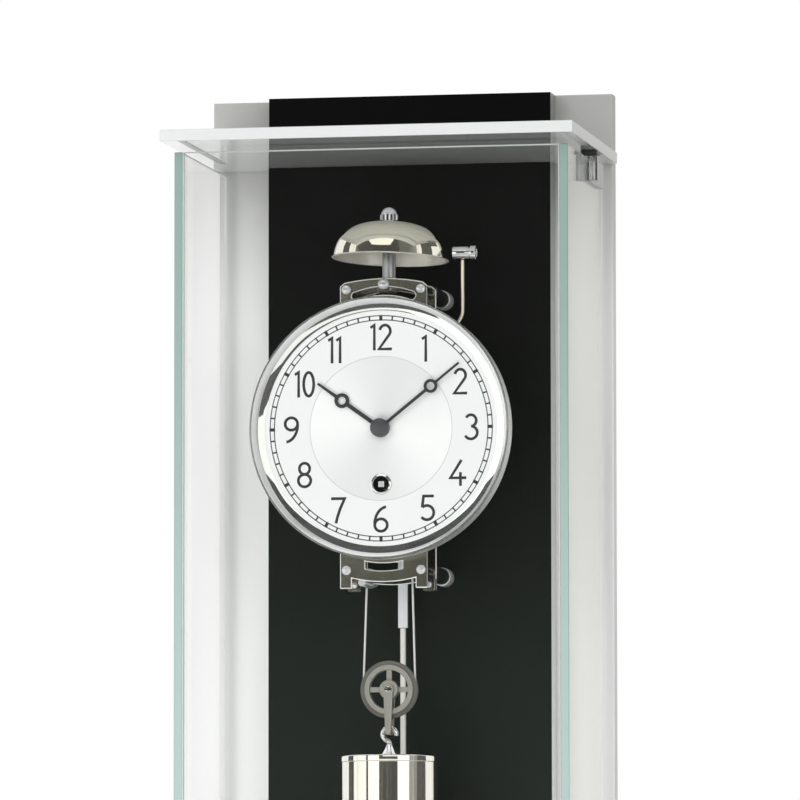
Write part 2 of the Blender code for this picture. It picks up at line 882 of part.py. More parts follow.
def make_pendulum(pin_z):
    tip = pendulum_y - cock_reach
    far = pendulum_y + cock_reach
    arm_low = anchor_z + crutch_hub + running
    arm_high = arm_low + cock_height
    loop = [(back_plate_back + seat, arm_high), (back_plate_back + seat, arm_low), (tip, arm_low)]
    loop += [(tip, anchor_z + running), (far, anchor_z + running), (far, arm_high)]
    slab("suspension_cock", [loop], edgewise, -cock_half_width, 2 * cock_half_width, brass)

    spring = box(
        "suspension_spring",
        (-spring_width / 2, pendulum_y - spring_thick / 2, anchor_z - spring_length),
        (spring_width / 2, pendulum_y + spring_thick / 2, anchor_z),
        steel,
    )
    half = leader_width / 2
    top = anchor_z - spring_length - seat
    bottom = dial_z - leader_end_drop
    slot = crutch_pin_radius + seat
    opening = rectangle(-slot, pin_z - crutch_slot_half, slot, pin_z + crutch_slot_half)
    loops = [rectangle(-half, bottom, half, top), opening]
    leader = slab("pendulum_leader", loops, facing, pendulum_y - leader_thick / 2, leader_thick, leader_paint)
    spot = (0, pendulum_y, 0)
    tail = bob_z - bob_radius - rod_tail
    bar = rod("pendulum_rod", rod_radius, tail, bottom - seat, (spot, up), steel, 12)
    rim = bob_edge / 2
    swell = bob_thick / 2
    profile = [(0, -swell), (bob_radius * 0.55, -swell * 0.82), (bob_radius * 0.85, -swell * 0.5)]
    profile += [(bob_radius, -rim), (bob_radius, rim)]
    profile += [(bob_radius * 0.85, swell * 0.5), (bob_radius * 0.55, swell * 0.82), (0, swell)]
    bob = turned("pendulum_bob", profile, (0, pendulum_y, bob_z), back, nickel, 32)
    far = 2 * bob_radius
    bore = rod("bob_bore", rod_radius + seat, bob_z - far, bob_z + far, (spot, up), steel, 12)
    cut(bob, bore)
    seat_z = bob_z - bob_radius - seat
    ring = [(rod_radius + seat, seat_z), (rating_nut_radius, seat_z)]
    ring += [(rating_nut_radius, seat_z - rating_nut_height), (rod_radius + seat, seat_z - rating_nut_height)]
    nut = turned("rating_nut", ring, spot, up, brass, 20)
    carry("pendulum_axis", (0, pendulum_y, anchor_z), [spring, leader, bar, bob, nut])


def hand_outline(length, ring_at, ring, hub):
    """A hand pointing up from the dial's centre: hub, blade, ring and pointed tip."""
    half = hand_half_width
    lean = math.degrees(math.asin(half / hub))
    loop = arc(0, 0, hub, 90 - lean, -270 + lean, 17)
    foot = math.degrees(math.asin(half / ring))
    loop += arc(0, ring_at, ring, 270 - foot, 90 + foot, 9)
    loop.append((0, length))
    loop += arc(0, ring_at, ring, 90 - foot, -90 + foot, 9)
    return loop


def turned_clockwise(loop, degrees):
    a = math.radians(degrees)
    turned_points = []
    for u, v in loop:
        turned_points.append((u * math.cos(a) + v * math.sin(a), dial_z - u * math.sin(a) + v * math.cos(a)))
    return turned_points


def make_motion_work():
    """Cannon pinion, minute wheel, hour wheel and the hands, in front of the front plate."""
    work_y = front_plate_front - running
    cannon_tip = pinion_tip(motion_distance, minute_teeth, cannon_leaves)
    minute_tip = wheel_tip(motion_distance, minute_teeth, cannon_leaves)
    minute_leaf = pinion_tip(motion_distance, hour_teeth, minute_leaves)
    hour_tip = wheel_tip(motion_distance, hour_teeth, minute_leaves)
    wheel = motion_wheel_thick
    first = work_y - motion_first
    second = first - motion_second
    centre = (0, 0, dial_z)

    pipe = [(cannon_bore, work_y), (cannon_pipe, work_y)]
    pipe += [(cannon_pipe, nut_seat), (cannon_bore, nut_seat)]
    cannon = turned("cannon_pinion", pipe, centre, back, steel, 16)
    middle = (cannon_bore + cannon_pipe) / 2
    loops = [toothed(0, dial_z, cannon_tip, cannon_leaves), circle(0, dial_z, middle, 16)]
    add(cannon, slab("cannon_leaves", loops, facing, first, wheel + running, steel))

    spot = (minute_wheel_x, 0, minute_wheel_z)
    foot = front_plate_front - seat
    stud = rod("minute_wheel", arbor_radius, second - wheel, foot, (spot, back), steel, 12)
    disc = slab(
        "minute_disc",
        [toothed(minute_wheel_x, minute_wheel_z, minute_tip, minute_teeth)],
        facing,
        first,
        wheel,
        brass,
    )
    loop = toothed(minute_wheel_x, minute_wheel_z, minute_leaf, minute_leaves)
    leaves = slab("minute_leaves", [loop], facing, second, first - second + seat, steel)
    add(stud, disc, leaves)
    carry("minute_wheel_axis", spot, [stud])

    pipe = [(hour_bore, second + wheel), (hour_pipe, second + wheel)]
    pipe += [(hour_pipe, hour_hand_front - 2 * seat), (hour_bore, hour_hand_front - 2 * seat)]
    hour = turned("hour_wheel", pipe, centre, back, brass, 16)
    loops = [toothed(0, dial_z, hour_tip, hour_teeth), circle(0, dial_z, (hour_bore + hour_pipe) / 2, 16)]
    add(hour, slab("hour_disc", loops, facing, second, wheel - seat / 3, brass))
    loop = hand_outline(hour_hand_length, hour_ring_at, hour_ring, hub_radius)
    holes = [circle(0, 0, hour_pipe + seat, 16), circle(0, hour_ring_at, ring_hole, 16)]
    loops = [turned_clockwise(points, hour_angle) for points in [loop, *holes]]
    hour_hand = slab("hour_hand", loops, facing, hour_hand_front, hand_thick, hand_paint)
    carry("hour_axis", centre, [hour, hour_hand])

    loop = hand_outline(minute_hand_length, minute_ring_at, minute_ring, hub_radius)
    holes = [circle(0, 0, cannon_pipe + seat, 16), circle(0, minute_ring_at, ring_hole, 16)]
    loops = [turned_clockwise(points, minute_angle) for points in [loop, *holes]]
    minute_hand = slab("minute_hand", loops, facing, minute_hand_front, hand_thick, hand_paint)
    roof = nut_front + hub_nut_roof
    profile = [(0, nut_front - hub_nut_dome), (hub_radius * 0.6, nut_front - hub_nut_dome * 0.8)]
    profile += [(hub_radius, nut_front), (hub_radius, nut_seat - seat), (cannon_pipe + seat, nut_seat - seat)]
    profile += [(cannon_pipe + seat, roof), (0, roof)]
    nut = turned("hand_nut", profile, centre, back, hand_paint, 24)
    carry("minute_axis", centre, [cannon, minute_hand, nut])


def make_bell():
    bridge_z = dial_z + bell_bridge_rise
    half = bell_bridge_half
    bridge_top = bridge_z + half
    box(
        "bell_bridge",
        (-half, front_plate_back + seat, bridge_z - half),
        (half, back_plate_front - seat, bridge_top),
        nickel,
    )
    rim_z = dial_z + bell_rim_rise
    crown_z = rim_z + bell_height
    spot = (0, bell_y, 0)
    shoulder = crown_z - bell_wall - seat
    top = crown_z + bell_nut_height / 2
    profile = [(0, bridge_top + seat), (bell_post_radius, bridge_top + seat), (bell_post_radius, shoulder)]
    profile += [(bell_spigot, shoulder), (bell_spigot, top), (0, top)]
    turned("bell_post", profile, spot, up, chrome, 20)

    waist = bell_radius - bell_flare
    rise = bell_height - bell_lip
    outside = [(bell_radius, rim_z)]
    inside = [(bell_radius - bell_wall, rim_z)]
    for k in range(7):
        a = math.radians(85 * k / 6)
        u, v = math.cos(a) ** (2 / bell_round), math.sin(a) ** (2 / bell_round)
        outside.append((waist * u, rim_z + bell_lip + rise * v))
        inside.append(((waist - bell_wall) * u, rim_z + bell_lip + (rise - bell_wall) * v))
    hole = bell_spigot + seat
    outside.append((hole, crown_z))
    inside.append((hole, crown_z - bell_wall))
    turned("bell", outside + inside[::-1], spot, up, nickel, 32)

    seat_z = crown_z + seat
    dome = seat_z + bell_nut_height
    profile = [(0, top + seat), (hole, top + seat), (hole, seat_z), (bell_nut_radius, seat_z)]
    profile += [(bell_nut_radius, seat_z + bell_nut_height * 0.45)]
    profile += [(bell_nut_radius * 0.85, seat_z + bell_nut_height * 0.76)]
    profile += [(bell_nut_radius * 0.5, dome - bell_nut_height * 0.07), (0, dome)]
    turned("bell_nut", profile, spot, up, chrome, 20)


def make_hammer():
    """The hammer's arbor with its lifting tail and bent wire, and the head beside the bell's rim."""
    x, z = hammer_x, dial_z + hammer_z
    arm = arbor("hammer_arbor", x, z)
    half = tail_half_width
    end = dial_z + tail_end_z
    inner_corner = tail_corner_x + half
    outer_corner = tail_corner_x - half
    loop = [(x + 2 * half, z - half), (x + 2 * half, z + half), (outer_corner, z + half)]
    loop += [(outer_corner, end), (inner_corner, end), (inner_corner, z - half)]
    tail = slab("lifting_tail", [loop], facing, cam_y, wheel_thick, steel)
    ring = circle(x, z, hammer_boss_radius, 14)
    start = movement_middle - hammer_boss_length / 2
    boss = slab("hammer_boss", [ring], facing, start, hammer_boss_length, steel)
    head_z = dial_z + hammer_head_z
    wire_x = hammer_knee_x
    stem_top = head_z - hammer_head_radius - seat
    knee = dial_z + hammer_knee_z
    bend = hammer_wire_bend
    lean = Vector((wire_x - x, knee - z)).normalized()
    route = [(x, movement_middle, z)]
    route.append((wire_x - lean.x * bend, movement_middle, knee - lean.y * bend))
    route.append((wire_x - lean.x * bend * 0.25, movement_middle, knee + bend * 0.1))
    route.append((wire_x, movement_middle, knee + bend))
    route.append((wire_x, movement_middle, stem_top))
    wire = tube("hammer_wire", route, hammer_wire_radius, steel)
    add(arm, tail, boss, wire)

    end = hammer_head_length
    neck = end - hammer_collar_length
    edge = hammer_edge
    radius, collar = hammer_head_radius, hammer_collar_radius
    profile = [(0, 0), (radius - edge, 0), (radius, edge), (radius, neck), (radius - edge, neck + edge)]
    profile += [(collar, neck + 2 * edge), (collar, end - edge), (collar - edge, end), (0, end)]
    head = turned("hammer_head", profile, (hammer_head_start, movement_middle, head_z), right, nickel, 20)
    carry("hammer_axis", (x, 0, z), [arm, head])


def make_pulley():
    centre = (0, drum_y, pulley_z)
    half = pulley_thick / 2
    lip = half * 0.73
    bed = half * 0.3
    ring = [(pulley_rim_inner, half), (pulley_radius, half), (pulley_radius, lip), (pulley_groove, bed)]
    ring += [(pulley_groove, -bed), (pulley_radius, -lip), (pulley_radius, -half), (pulley_rim_inner, -half)]
    pulley = turned("pulley", ring[::-1], centre, back, nickel, 28)
    bore = axle_radius + seat
    loops = [circle(0, pulley_z, pulley_rim_inner + 2 * seat, 28), circle(0, pulley_z, bore, 16)]
    loops += crossings(0, pulley_z, pulley_hub - seat, pulley_rim_inner, 4, pulley_spoke)
    web = slab("pulley_spokes", loops, facing, drum_y - pulley_web / 2, pulley_web, nickel)
    long = pulley_hub_length / 2
    inner = bore + seat / 2
    hub_ring = [(inner, long), (pulley_hub, long), (pulley_hub, -long), (inner, -long)]
    hub = turned("pulley_boss", hub_ring, centre, back, nickel, 16)
    add(pulley, web, hub)
    carry("pulley_axis", centre, [pulley])


def make_weight():
    """Stirrup, hook and weight, which hang from the pulley's axle."""
    inner = pulley_hub_length / 2 + running
    outer = inner + strap_thick
    pin_z = pulley_z - hook_pin_drop
    half = strap_half_width
    straps = []
    for name, start in (("stirrup", drum_y - outer), ("stirrup_rear_strap", drum_y + inner)):
        top = arc(0, pulley_z, axle_head, -30, 210, 9)
        bottom = arc(0, pin_z, half, 180, 360, 7)
        straps.append(slab(name, [top + bottom], facing, start, strap_thick, steel))
    stirrup, rear = straps
    front_end = drum_y - outer - axle_head_proud
    rear_end = drum_y + outer
    axle_line = ((0, 0, pulley_z), back)
    pin_line = ((0, 0, pin_z), back)
    inset = strap_thick / 6
    axle = rod("pulley_axle", axle_radius, front_end, rear_end - inset, axle_line, steel, 14)
    head = rod("axle_head", axle_head * 0.9, front_end, drum_y - outer + inset, axle_line, steel, 18)
    pin = rod("hook_pin", hook_pin_radius, drum_y - outer + inset, rear_end - inset, pin_line, steel, 12)
    add(stirrup, axle, head, rear, pin)

    ring_z = pin_z - (hook_ring - hook_wire - hook_pin_radius - seat)
    weight_top = pulley_z - weight_hang
    route = [(u, drum_y, v) for u, v in arc(0, ring_z, hook_ring, -12, 236, 17)]
    base_top = weight_top + seat + hook_base_height
    route.append((0, drum_y, (ring_z - hook_ring + base_top) / 2 - seat))
    route.append((0, drum_y, base_top - hook_wire))
    hook = tube("weight_hook", route, hook_wire, steel)
    foot = weight_top + seat
    flare = [(0, foot), (hook_base_radius, foot), (hook_base_radius, foot + hook_base_rim)]
    flare += [(hook_base_radius * 0.55, foot + hook_base_height * 0.55), (hook_wire, base_top), (0, base_top)]
    add(hook, turned("hook_flare", flare, (0, drum_y, 0), up, steel, 20))

    low = weight_top - weight_length
    edge = weight_edge
    profile = [(0, low), (weight_radius - edge, low), (weight_radius, low + edge)]
    profile += [(weight_radius, weight_top - edge), (weight_radius - edge, weight_top), (0, weight_top)]
    weight = turned("weight", profile, (0, drum_y, 0), up, nickel, 28)
    route = [(u, drum_y, v) for u, v in arc(0, pulley_z, wrap_line, 180, 360, 17)]
    wrap = tube("cable_wrap", route, cable_radius, steel)
    carry("weight_hang_point", (0, drum_y, pulley_z), [stirrup, hook, weight, wrap])


def make_cables(exit_y):
    """The two cable runs: from the fixed end down to the pulley, and from the pulley up to the drum."""
    rod_z = dial_z - anchor_drop
    spot = (-anchor_x, 0, rod_z)
    rod(
        "cable_anchor",
        anchor_radius,
        front_plate_back + seat,
        back_plate_front - seat,
        (spot, back),
        steel,
        14,
    )
    top = (-anchor_x, drum_y, rod_z - anchor_radius - seat)
    tube("cable_left", [top, (-wrap_line, drum_y, pulley_z + seat)], cable_radius, steel)
    start = (cable_line, exit_y, drum_z - 2 * cable_radius - seat)
    tube("cable_right", [start, (wrap_line, drum_y, pulley_z + seat)], cable_radius, steel)


make_board()
make_panel()
make_shelf("top_shelf", shelf_under_z)
make_shelf("bottom_shelf", shelf_over_z - shelf_thick)
make_hood()
make_frame()
make_dial()
exit_place = make_drum()
make_train()
make_pendulum(make_escapement())
make_motion_work()
make_bell()
make_hammer()
make_pulley()
make_weight()
make_cables(exit_place)
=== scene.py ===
import math

import bmesh
import bpy
from mathutils import Matrix, Vector


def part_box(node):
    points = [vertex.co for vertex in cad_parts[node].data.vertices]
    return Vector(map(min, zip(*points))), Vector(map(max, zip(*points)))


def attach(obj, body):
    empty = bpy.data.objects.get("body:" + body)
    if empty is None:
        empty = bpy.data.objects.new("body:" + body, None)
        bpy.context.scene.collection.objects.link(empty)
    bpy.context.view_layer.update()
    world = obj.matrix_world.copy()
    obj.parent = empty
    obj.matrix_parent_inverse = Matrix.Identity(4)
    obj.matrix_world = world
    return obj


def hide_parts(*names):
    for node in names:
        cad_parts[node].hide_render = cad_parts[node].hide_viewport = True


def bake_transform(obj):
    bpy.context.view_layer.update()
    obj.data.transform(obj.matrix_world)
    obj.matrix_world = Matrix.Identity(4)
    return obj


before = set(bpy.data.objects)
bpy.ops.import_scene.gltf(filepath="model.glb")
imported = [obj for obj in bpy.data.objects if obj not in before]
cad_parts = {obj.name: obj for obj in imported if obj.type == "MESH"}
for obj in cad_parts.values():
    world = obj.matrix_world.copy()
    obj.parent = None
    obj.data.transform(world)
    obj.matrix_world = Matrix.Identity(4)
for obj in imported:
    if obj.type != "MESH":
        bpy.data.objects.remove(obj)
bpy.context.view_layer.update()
scene = bpy.context.scene
print("frame: model loaded")

# small tools

toFront = Matrix.Rotation(math.pi / 2, 4, "X")  # lays a shape drawn in X and Y upright, facing the room
drumZ, palletZ = -0.2047, -0.125065  # heights of the drum's and the pallets' axes


def tone(r, g, b):
    parts = [c / 255 for c in (r, g, b)]
    return (*(c / 12.92 if c <= 0.04045 else ((c + 0.055) / 1.055) ** 2.4 for c in parts), 1)


def corners(node):
    low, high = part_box(node)
    return Vector(low), Vector(high)


def middleOf(node):
    low, high = corners(node)
    return (low + high) / 2


def makePiece(name, bm, finish, sharp=40):
    bmesh.ops.recalc_face_normals(bm, faces=bm.faces[:])
    mesh = bpy.data.meshes.new(name)
    bm.to_mesh(mesh)
    bm.free()
    mesh.shade_smooth()
    mesh.set_sharp_from_angle(angle=math.radians(sharp))
    for one in finish if isinstance(finish, (list, tuple)) else [finish]:
        mesh.materials.append(one)
    piece = bpy.data.objects.new(name, mesh)
    scene.collection.objects.link(piece)
    return piece


def settle(piece, sharp=40):  # turns modifiers into plain mesh
    graph = bpy.context.evaluated_depsgraph_get()
    mesh = bpy.data.meshes.new_from_object(piece.evaluated_get(graph))
    piece.modifiers.clear()
    piece.data = mesh
    mesh.shade_smooth()
    mesh.set_sharp_from_angle(angle=math.radians(sharp))
    return piece


def soften(piece, width, segments=2, sharp=15, angle=35, clamp=True):
    bevel = piece.modifiers.new("edge", "BEVEL")
    bevel.width = width
    bevel.segments = segments
    bevel.limit_method = "ANGLE"
    bevel.angle_limit = math.radians(angle)
    bevel.harden_normals = False
    bevel.use_clamp_overlap = clamp
    return settle(piece, sharp)


def mount(piece, body, slot, *nodes):
    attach(piece, body)
    if nodes:
        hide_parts(*nodes)
    return piece


def block(name, low, high, finish, round_=0.0004, segments=2):
    bm = bmesh.new()
    bmesh.ops.create_cube(bm, size=1.0)
    low, high = Vector(low), Vector(high)
    bmesh.ops.transform(bm, matrix=Matrix.LocRotScale((low + high) / 2, None, high - low), verts=bm.verts[:])
    return soften(makePiece(name, bm, finish), round_, segments)


def turnRings(bm, profile, place, steps):
    rings = []
    for radius, along in profile:
        if radius == 0:
            rings.append([bm.verts.new(place @ Vector((0, 0, along)))])
            continue
        ring = []
        for k in range(steps):
            a = 2 * math.pi * k / steps
            ring.append(bm.verts.new(place @ Vector((radius * math.cos(a), radius * math.sin(a), along))))
        rings.append(ring)
    count = len(rings) - 1 if profile[0][0] == 0 and profile[-1][0] == 0 else len(rings)
    for i in range(count):
        one, two = rings[i], rings[(i + 1) % len(rings)]
        for k in range(steps):
            n = (k + 1) % steps
            if len(one) == 1:
                bm.faces.new((one[0], two[n], two[k]))
            elif len(two) == 1:
                bm.faces.new((one[k], one[n], two[0]))
            else:
                bm.faces.new((one[k], one[n], two[n], two[k]))


def spun(name, profile, centre, axis, finish, steps=64, sharp=40):
    turn = Vector((0, 0, 1)).rotation_difference(Vector(axis)).to_matrix().to_4x4()
    bm = bmesh.new()
    turnRings(bm, profile, Matrix.Translation(Vector(centre)) @ turn, steps)
    return makePiece(name, bm, finish, sharp)


def rod(radius, start, end):
    return [(0, start), (radius, start), (radius, end), (0, end)]


def rounded(profile, radius, points=4):  # rounds the inner corners of a profile, end points stay
    done = [profile[0]]
    for before, here, after in zip(profile, profile[1:], profile[2:]):
        h, b, a = Vector(here), Vector(before), Vector(after)
        reach = min(radius, (b - h).length * 0.45, (a - h).length * 0.45)
        start, end = h + (b - h).normalized() * reach, h + (a - h).normalized() * reach
        for k in range(points + 1):
            t = k / points
            done.append(tuple(start * (1 - t) ** 2 + h * 2 * t * (1 - t) + end * t * t))
    done.append(profile[-1])
    return done


def cutOut(name, loops, start, depth, finish, edge=0.0, clamp=True):  # outline in X and Z with holes, through Y
    bm = bmesh.new()
    for loop in loops:
        verts = [bm.verts.new((u, start, v)) for u, v in loop]
        for k, vert in enumerate(verts):
            bm.edges.new((vert, verts[(k + 1) % len(verts)]))
    bmesh.ops.triangle_fill(bm, use_beauty=True, edges=bm.edges[:])
    made = bmesh.ops.extrude_face_region(bm, geom=bm.faces[:])
    moved = [item for item in made["geom"] if isinstance(item, bmesh.types.BMVert)]
    bmesh.ops.translate(bm, vec=(0, depth, 0), verts=moved)
    bmesh.ops.dissolve_limit(bm, angle_limit=0.01, verts=bm.verts[:], edges=bm.edges[:])
    piece = makePiece(name, bm, finish)
    return soften(piece, edge, angle=50, clamp=clamp) if edge else piece


def bend(u, v, radius, first, last, points):
    steps = [math.radians(first + (last - first) * k / (points - 1)) for k in range(points)]
    return [(u + radius * math.cos(a), v + radius * math.sin(a)) for a in steps]


def ringOf(u, v, radius, points=48):
    return bend(u, v, radius, 0, 360 - 360 / points, points)


def wire(name, points, radius, finish, sides=6, smooth=True):
    curve = bpy.data.curves.new(name, "CURVE")
    curve.dimensions = "3D"
    curve.bevel_depth = radius
    curve.bevel_resolution = sides
    curve.use_fill_caps = True
    spline = curve.splines.new("BEZIER" if smooth else "POLY")
    spots = spline.bezier_points if smooth else spline.points
    spots.add(len(points) - 1)
    for spot, place in zip(spots, points):
        if smooth:
            spot.co = place
            spot.handle_left_type = spot.handle_right_type = "AUTO"
        else:
            spot.co = (*place, 1.0)
    if smooth:
        spline.resolution_u = 10
    draft = bpy.data.objects.new(name + "Draft", curve)
    scene.collection.objects.link(draft)
    bm = bmesh.new()
    bm.from_mesh(draft.evaluated_get(bpy.context.evaluated_depsgraph_get()).to_mesh())
    bmesh.ops.remove_doubles(bm, verts=bm.verts[:], dist=1e-6)
    bpy.data.objects.remove(draft, do_unlink=True)
    return makePiece(name, bm, finish, 60)


def joined(name, *pieces):  # several meshes as one piece
    bm = bmesh.new()
    finishes = []
    for piece in pieces:
        shift = len(finishes)
        finishes += list(piece.data.materials)
        first = len(bm.faces)
        bm.from_mesh(piece.data)
        bm.faces.ensure_lookup_table()
        for face in bm.faces[first:]:
            face.material_index += shift
        bpy.data.objects.remove(piece, do_unlink=True)
    mesh = bpy.data.meshes.new(name)
    bm.to_mesh(mesh)
    bm.free()
    for finish in finishes:
        mesh.materials.append(finish)
    whole = bpy.data.objects.new(name, mesh)
    scene.collection.objects.link(whole)
    return whole


# node trees


def newTree(name, kind, inputs, outputs):
    tree = bpy.data.node_groups.new(name, kind)
    ids = {}
    for label, sort, value in inputs:
        socket = tree.interface.new_socket(label, in_out="INPUT", socket_type="NodeSocket" + sort)
        if value is not None:
            socket.default_value = value
        ids[label] = socket.identifier
    for label, sort in outputs:
        tree.interface.new_socket(label, in_out="OUTPUT", socket_type="NodeSocket" + sort)
    return tree, ids, tree.nodes.new("NodeGroupInput").outputs, tree.nodes.new("NodeGroupOutput").inputs


def feed(tree, socket, value):  # by a link or with a plain value
    if isinstance(value, bpy.types.NodeSocket):
        tree.links.new(value, socket)
    else:
        socket.default_value = value


def addNode(tree, kind, sockets=None, **settings):
    made = tree.nodes.new(kind)
    for label, value in settings.items():
        setattr(made, label, value)
    for label, value in (sockets or {}).items():
        feed(tree, made.inputs[label], value)
    return made.outputs


def figure(tree, operation, *values):
    return addNode(tree, "ShaderNodeMath", dict(enumerate(values)), operation=operation)[0]


def mixColours(tree, share, one, two):
    return addNode(tree, "ShaderNodeMix", {"Factor": share, "A": one, "B": two}, data_type="RGBA")["Result"]


def mixShaders(tree, share, one, two):
    mix = addNode(tree, "ShaderNodeMixShader", {"Fac": share, 1: one, 2: two})
    feed(tree, tree.nodes["Material Output"].inputs["Surface"], mix["Shader"])


def makeGrain():  # fine mottling or, with an uneven scale, brush lines
    tree, _, put, out = newTree(
        "finishGrain",
        "ShaderNodeTree",
        (
            ("Scale", "Vector", (400.0, 400.0, 400.0)),
            ("Colour", "Color", (0.5, 0.5, 0.5, 1)),
            ("Shade", "Color", (0.4, 0.4, 0.4, 1)),
            ("Rough Low", "Float", 0.2),
            ("Rough High", "Float", 0.3),
        ),
        (("Colour", "Color"), ("Roughness", "Float"), ("Height", "Float")),
    )
    place = addNode(tree, "ShaderNodeTexCoord")["Object"]
    spot = addNode(tree, "ShaderNodeVectorMath", {0: place, 1: put["Scale"]}, operation="MULTIPLY")[0]
    grain = addNode(tree, "ShaderNodeTexNoise", {"Scale": 1.0, "Detail": 3.0, "Vector": spot})["Fac"]
    span = {"Value": grain, "To Min": put["Rough Low"], "To Max": put["Rough High"]}
    feed(tree, out["Colour"], mixColours(tree, grain, put["Colour"], put["Shade"]))
    feed(tree, out["Roughness"], addNode(tree, "ShaderNodeMapRange", span)["Result"])
    feed(tree, out["Height"], grain)
    return tree


def makeFade():  # painted shade: blends two colours along the height of a piece, lighter at one end and darker at the other
    tree, _, put, out = newTree(
        "heightShadeFade",
        "ShaderNodeTree",
        (
            ("Low Z", "Float", -0.8),
            ("High Z", "Float", 0.0),
            ("Low Colour", "Color", (0.5, 0.5, 0.5, 1)),
            ("High Colour", "Color", (0.4, 0.4, 0.4, 1)),
        ),
        (("Colour", "Color"),),
    )
    place = addNode(tree, "ShaderNodeTexCoord")["Object"]
    height = addNode(tree, "ShaderNodeSeparateXYZ", {0: place})["Z"]
    span = {"Value": height, "From Min": put["Low Z"], "From Max": put["High Z"]}
    share = addNode(tree, "ShaderNodeMapRange", span, interpolation_type="SMOOTHSTEP")["Result"]
    feed(tree, out["Colour"], mixColours(tree, share, put["Low Colour"], put["High Colour"]))
    return tree


def makeSunburst():  # rays of brushed metal about a point of the dial, with a painted sheen of bright and dark lobes
    tree, _, put, out = newTree(
        "dialSunburst",
        "ShaderNodeTree",
        (
            ("Centre", "Vector", (0.0, 0.0, 0.0)),
            ("Light", "Color", (0.9, 0.9, 0.9, 1)),
            ("Shade", "Color", (0.7, 0.7, 0.7, 1)),
            ("Turn", "Float", 0.0),
            ("Streaks", "Float", 0.1),
        ),
        (("Colour", "Color"), ("Height", "Float")),
    )
    place = addNode(tree, "ShaderNodeTexCoord")["Object"]
    shift = addNode(tree, "ShaderNodeVectorMath", {0: place, 1: put["Centre"]}, operation="SUBTRACT")[0]
    split = addNode(tree, "ShaderNodeSeparateXYZ", {0: shift})
    angle = figure(tree, "ARCTAN2", split["X"], split["Z"])
    # painted sheen: brightness swings twice round the centre, turned by Turn
    paintedSheenLobes = figure(tree, "COSINE", figure(tree, "MULTIPLY", figure(tree, "SUBTRACT", angle, put["Turn"]), 2.0))
    lines = {"Scale": 60.0, "Detail": 4.0, "W": angle}
    noise = addNode(tree, "ShaderNodeTexNoise", lines, noise_dimensions="1D")["Fac"]
    streak = figure(tree, "MULTIPLY", figure(tree, "SUBTRACT", noise, 0.5), put["Streaks"])
    level = figure(tree, "ADD", figure(tree, "MULTIPLY_ADD", paintedSheenLobes, 0.5, 0.5), streak)
    feed(tree, out["Colour"], mixColours(tree, level, put["Shade"], put["Light"]))
    feed(tree, out["Height"], noise)
    return tree


grainGroup, shadeFadeGroup, sunburstGroup = makeGrain(), makeFade(), makeSunburst()

# finishes, with colours as they look on a screen, from 0 to 255


def finishOf(name, colour, roughness=0.4, metallic=0.0, **sockets):
    material = bpy.data.materials.new(name)
    material.use_nodes = True
    shader = material.node_tree.nodes["Principled BSDF"]
    values = {"Base Color": colour, "Roughness": roughness, "Metallic": metallic, **sockets}
    for label, value in values.items():
        shader.inputs[label.replace("_", " ")].default_value = value
    return material, material.node_tree, shader


def emboss(tree, shader, height, strength):
    bump = {"Strength": strength, "Distance": 0.0001, "Height": height}
    feed(tree, shader.inputs["Normal"], addNode(tree, "ShaderNodeBump", bump)["Normal"])


def grained(name, colour, shade, rough, scale, metallic=0.0, bump=0.0, **sockets):
    material, tree, shader = finishOf(name, tone(*colour), rough[0], metallic, **sockets)
    values = {"Colour": tone(*colour), "Shade": tone(*shade), "Rough Low": rough[0], "Rough High": rough[1]}
    values["Scale"] = scale if isinstance(scale, tuple) else (scale, scale, scale)
    grain = addNode(tree, "ShaderNodeGroup", values, node_tree=grainGroup)
    feed(tree, shader.inputs["Base Color"], grain["Colour"])
    feed(tree, shader.inputs["Roughness"], grain["Roughness"])
    if bump:
        emboss(tree, shader, grain["Height"], bump)
    return material


# grain with painted shade that changes along the height
def faded(name, span, lowColour, highColour, rough, scale, metallic=0.0, bump=0.0, **sockets):
    material = grained(name, lowColour, lowColour, rough, scale, metallic, bump, **sockets)
    tree = material.node_tree
    values = {"Low Z": span[0], "High Z": span[1]}
    values.update({"Low Colour": tone(*lowColour), "High Colour": tone(*highColour)})
    fade = addNode(tree, "ShaderNodeGroup", values, node_tree=shadeFadeGroup)
    feed(tree, tree.nodes["Principled BSDF"].inputs["Base Color"], fade["Colour"])
    return material


even, fine, broad = 500.0, 1200.0, 80.0
# painted shade: the silver lacquer darkens from 0.10 below up to 0.03, for the shade the top shelf casts
silverLacquerShadedTop = faded(
    "silverLacquerShadedTop", (-0.10, 0.03), (243, 243, 243), (200, 200, 198), (0.42, 0.52), fine, 0.1, 0.05
)
# painted light and shade: the black lacquer is painted lighter toward the bottom and darkest under the shelf
blackLacquerLitLow = faded(
    "blackLacquerLitLow", (-0.42, 0.0), (33, 39, 35), (9, 11, 10), (0.30, 0.42), 700.0, Specular_IOR_Level=0.08
)
# the panel's sides are bare silver; painted shade darkens them toward the top
panelSideShadedTop = faded("panelSideShadedTop", (-0.45, 0.06), (238, 239, 237), (160, 161, 159), (0.3, 0.4), even, 0.3)
shelfWhite = grained("shelfWhite", (228, 230, 230), (225, 227, 227), (0.05, 0.09), 60.0)
shelfUnder = grained(
    "shelfUnder", (233, 235, 234), (229, 231, 230), (0.03, 0.06), 60.0, Coat_Weight=1.0, Coat_Roughness=0.03
)
chromeFinish = grained("chromePlate", (250, 251, 252), (245, 246, 248), (0.02, 0.05), broad, 1.0)
hingeFinish = grained("hingeSteel", (168, 170, 170), (152, 154, 154), (0.12, 0.2), even, 1.0)
nickelFinish = grained("polishedNickel", (252, 250, 242), (248, 245, 235), (0.03, 0.06), broad, 1.0)
plateFinish = grained(
    "plateNickel", (158, 157, 145), (140, 139, 128), (0.14, 0.22), (60.0, 60.0, 1400.0), 1.0, 0.02
)
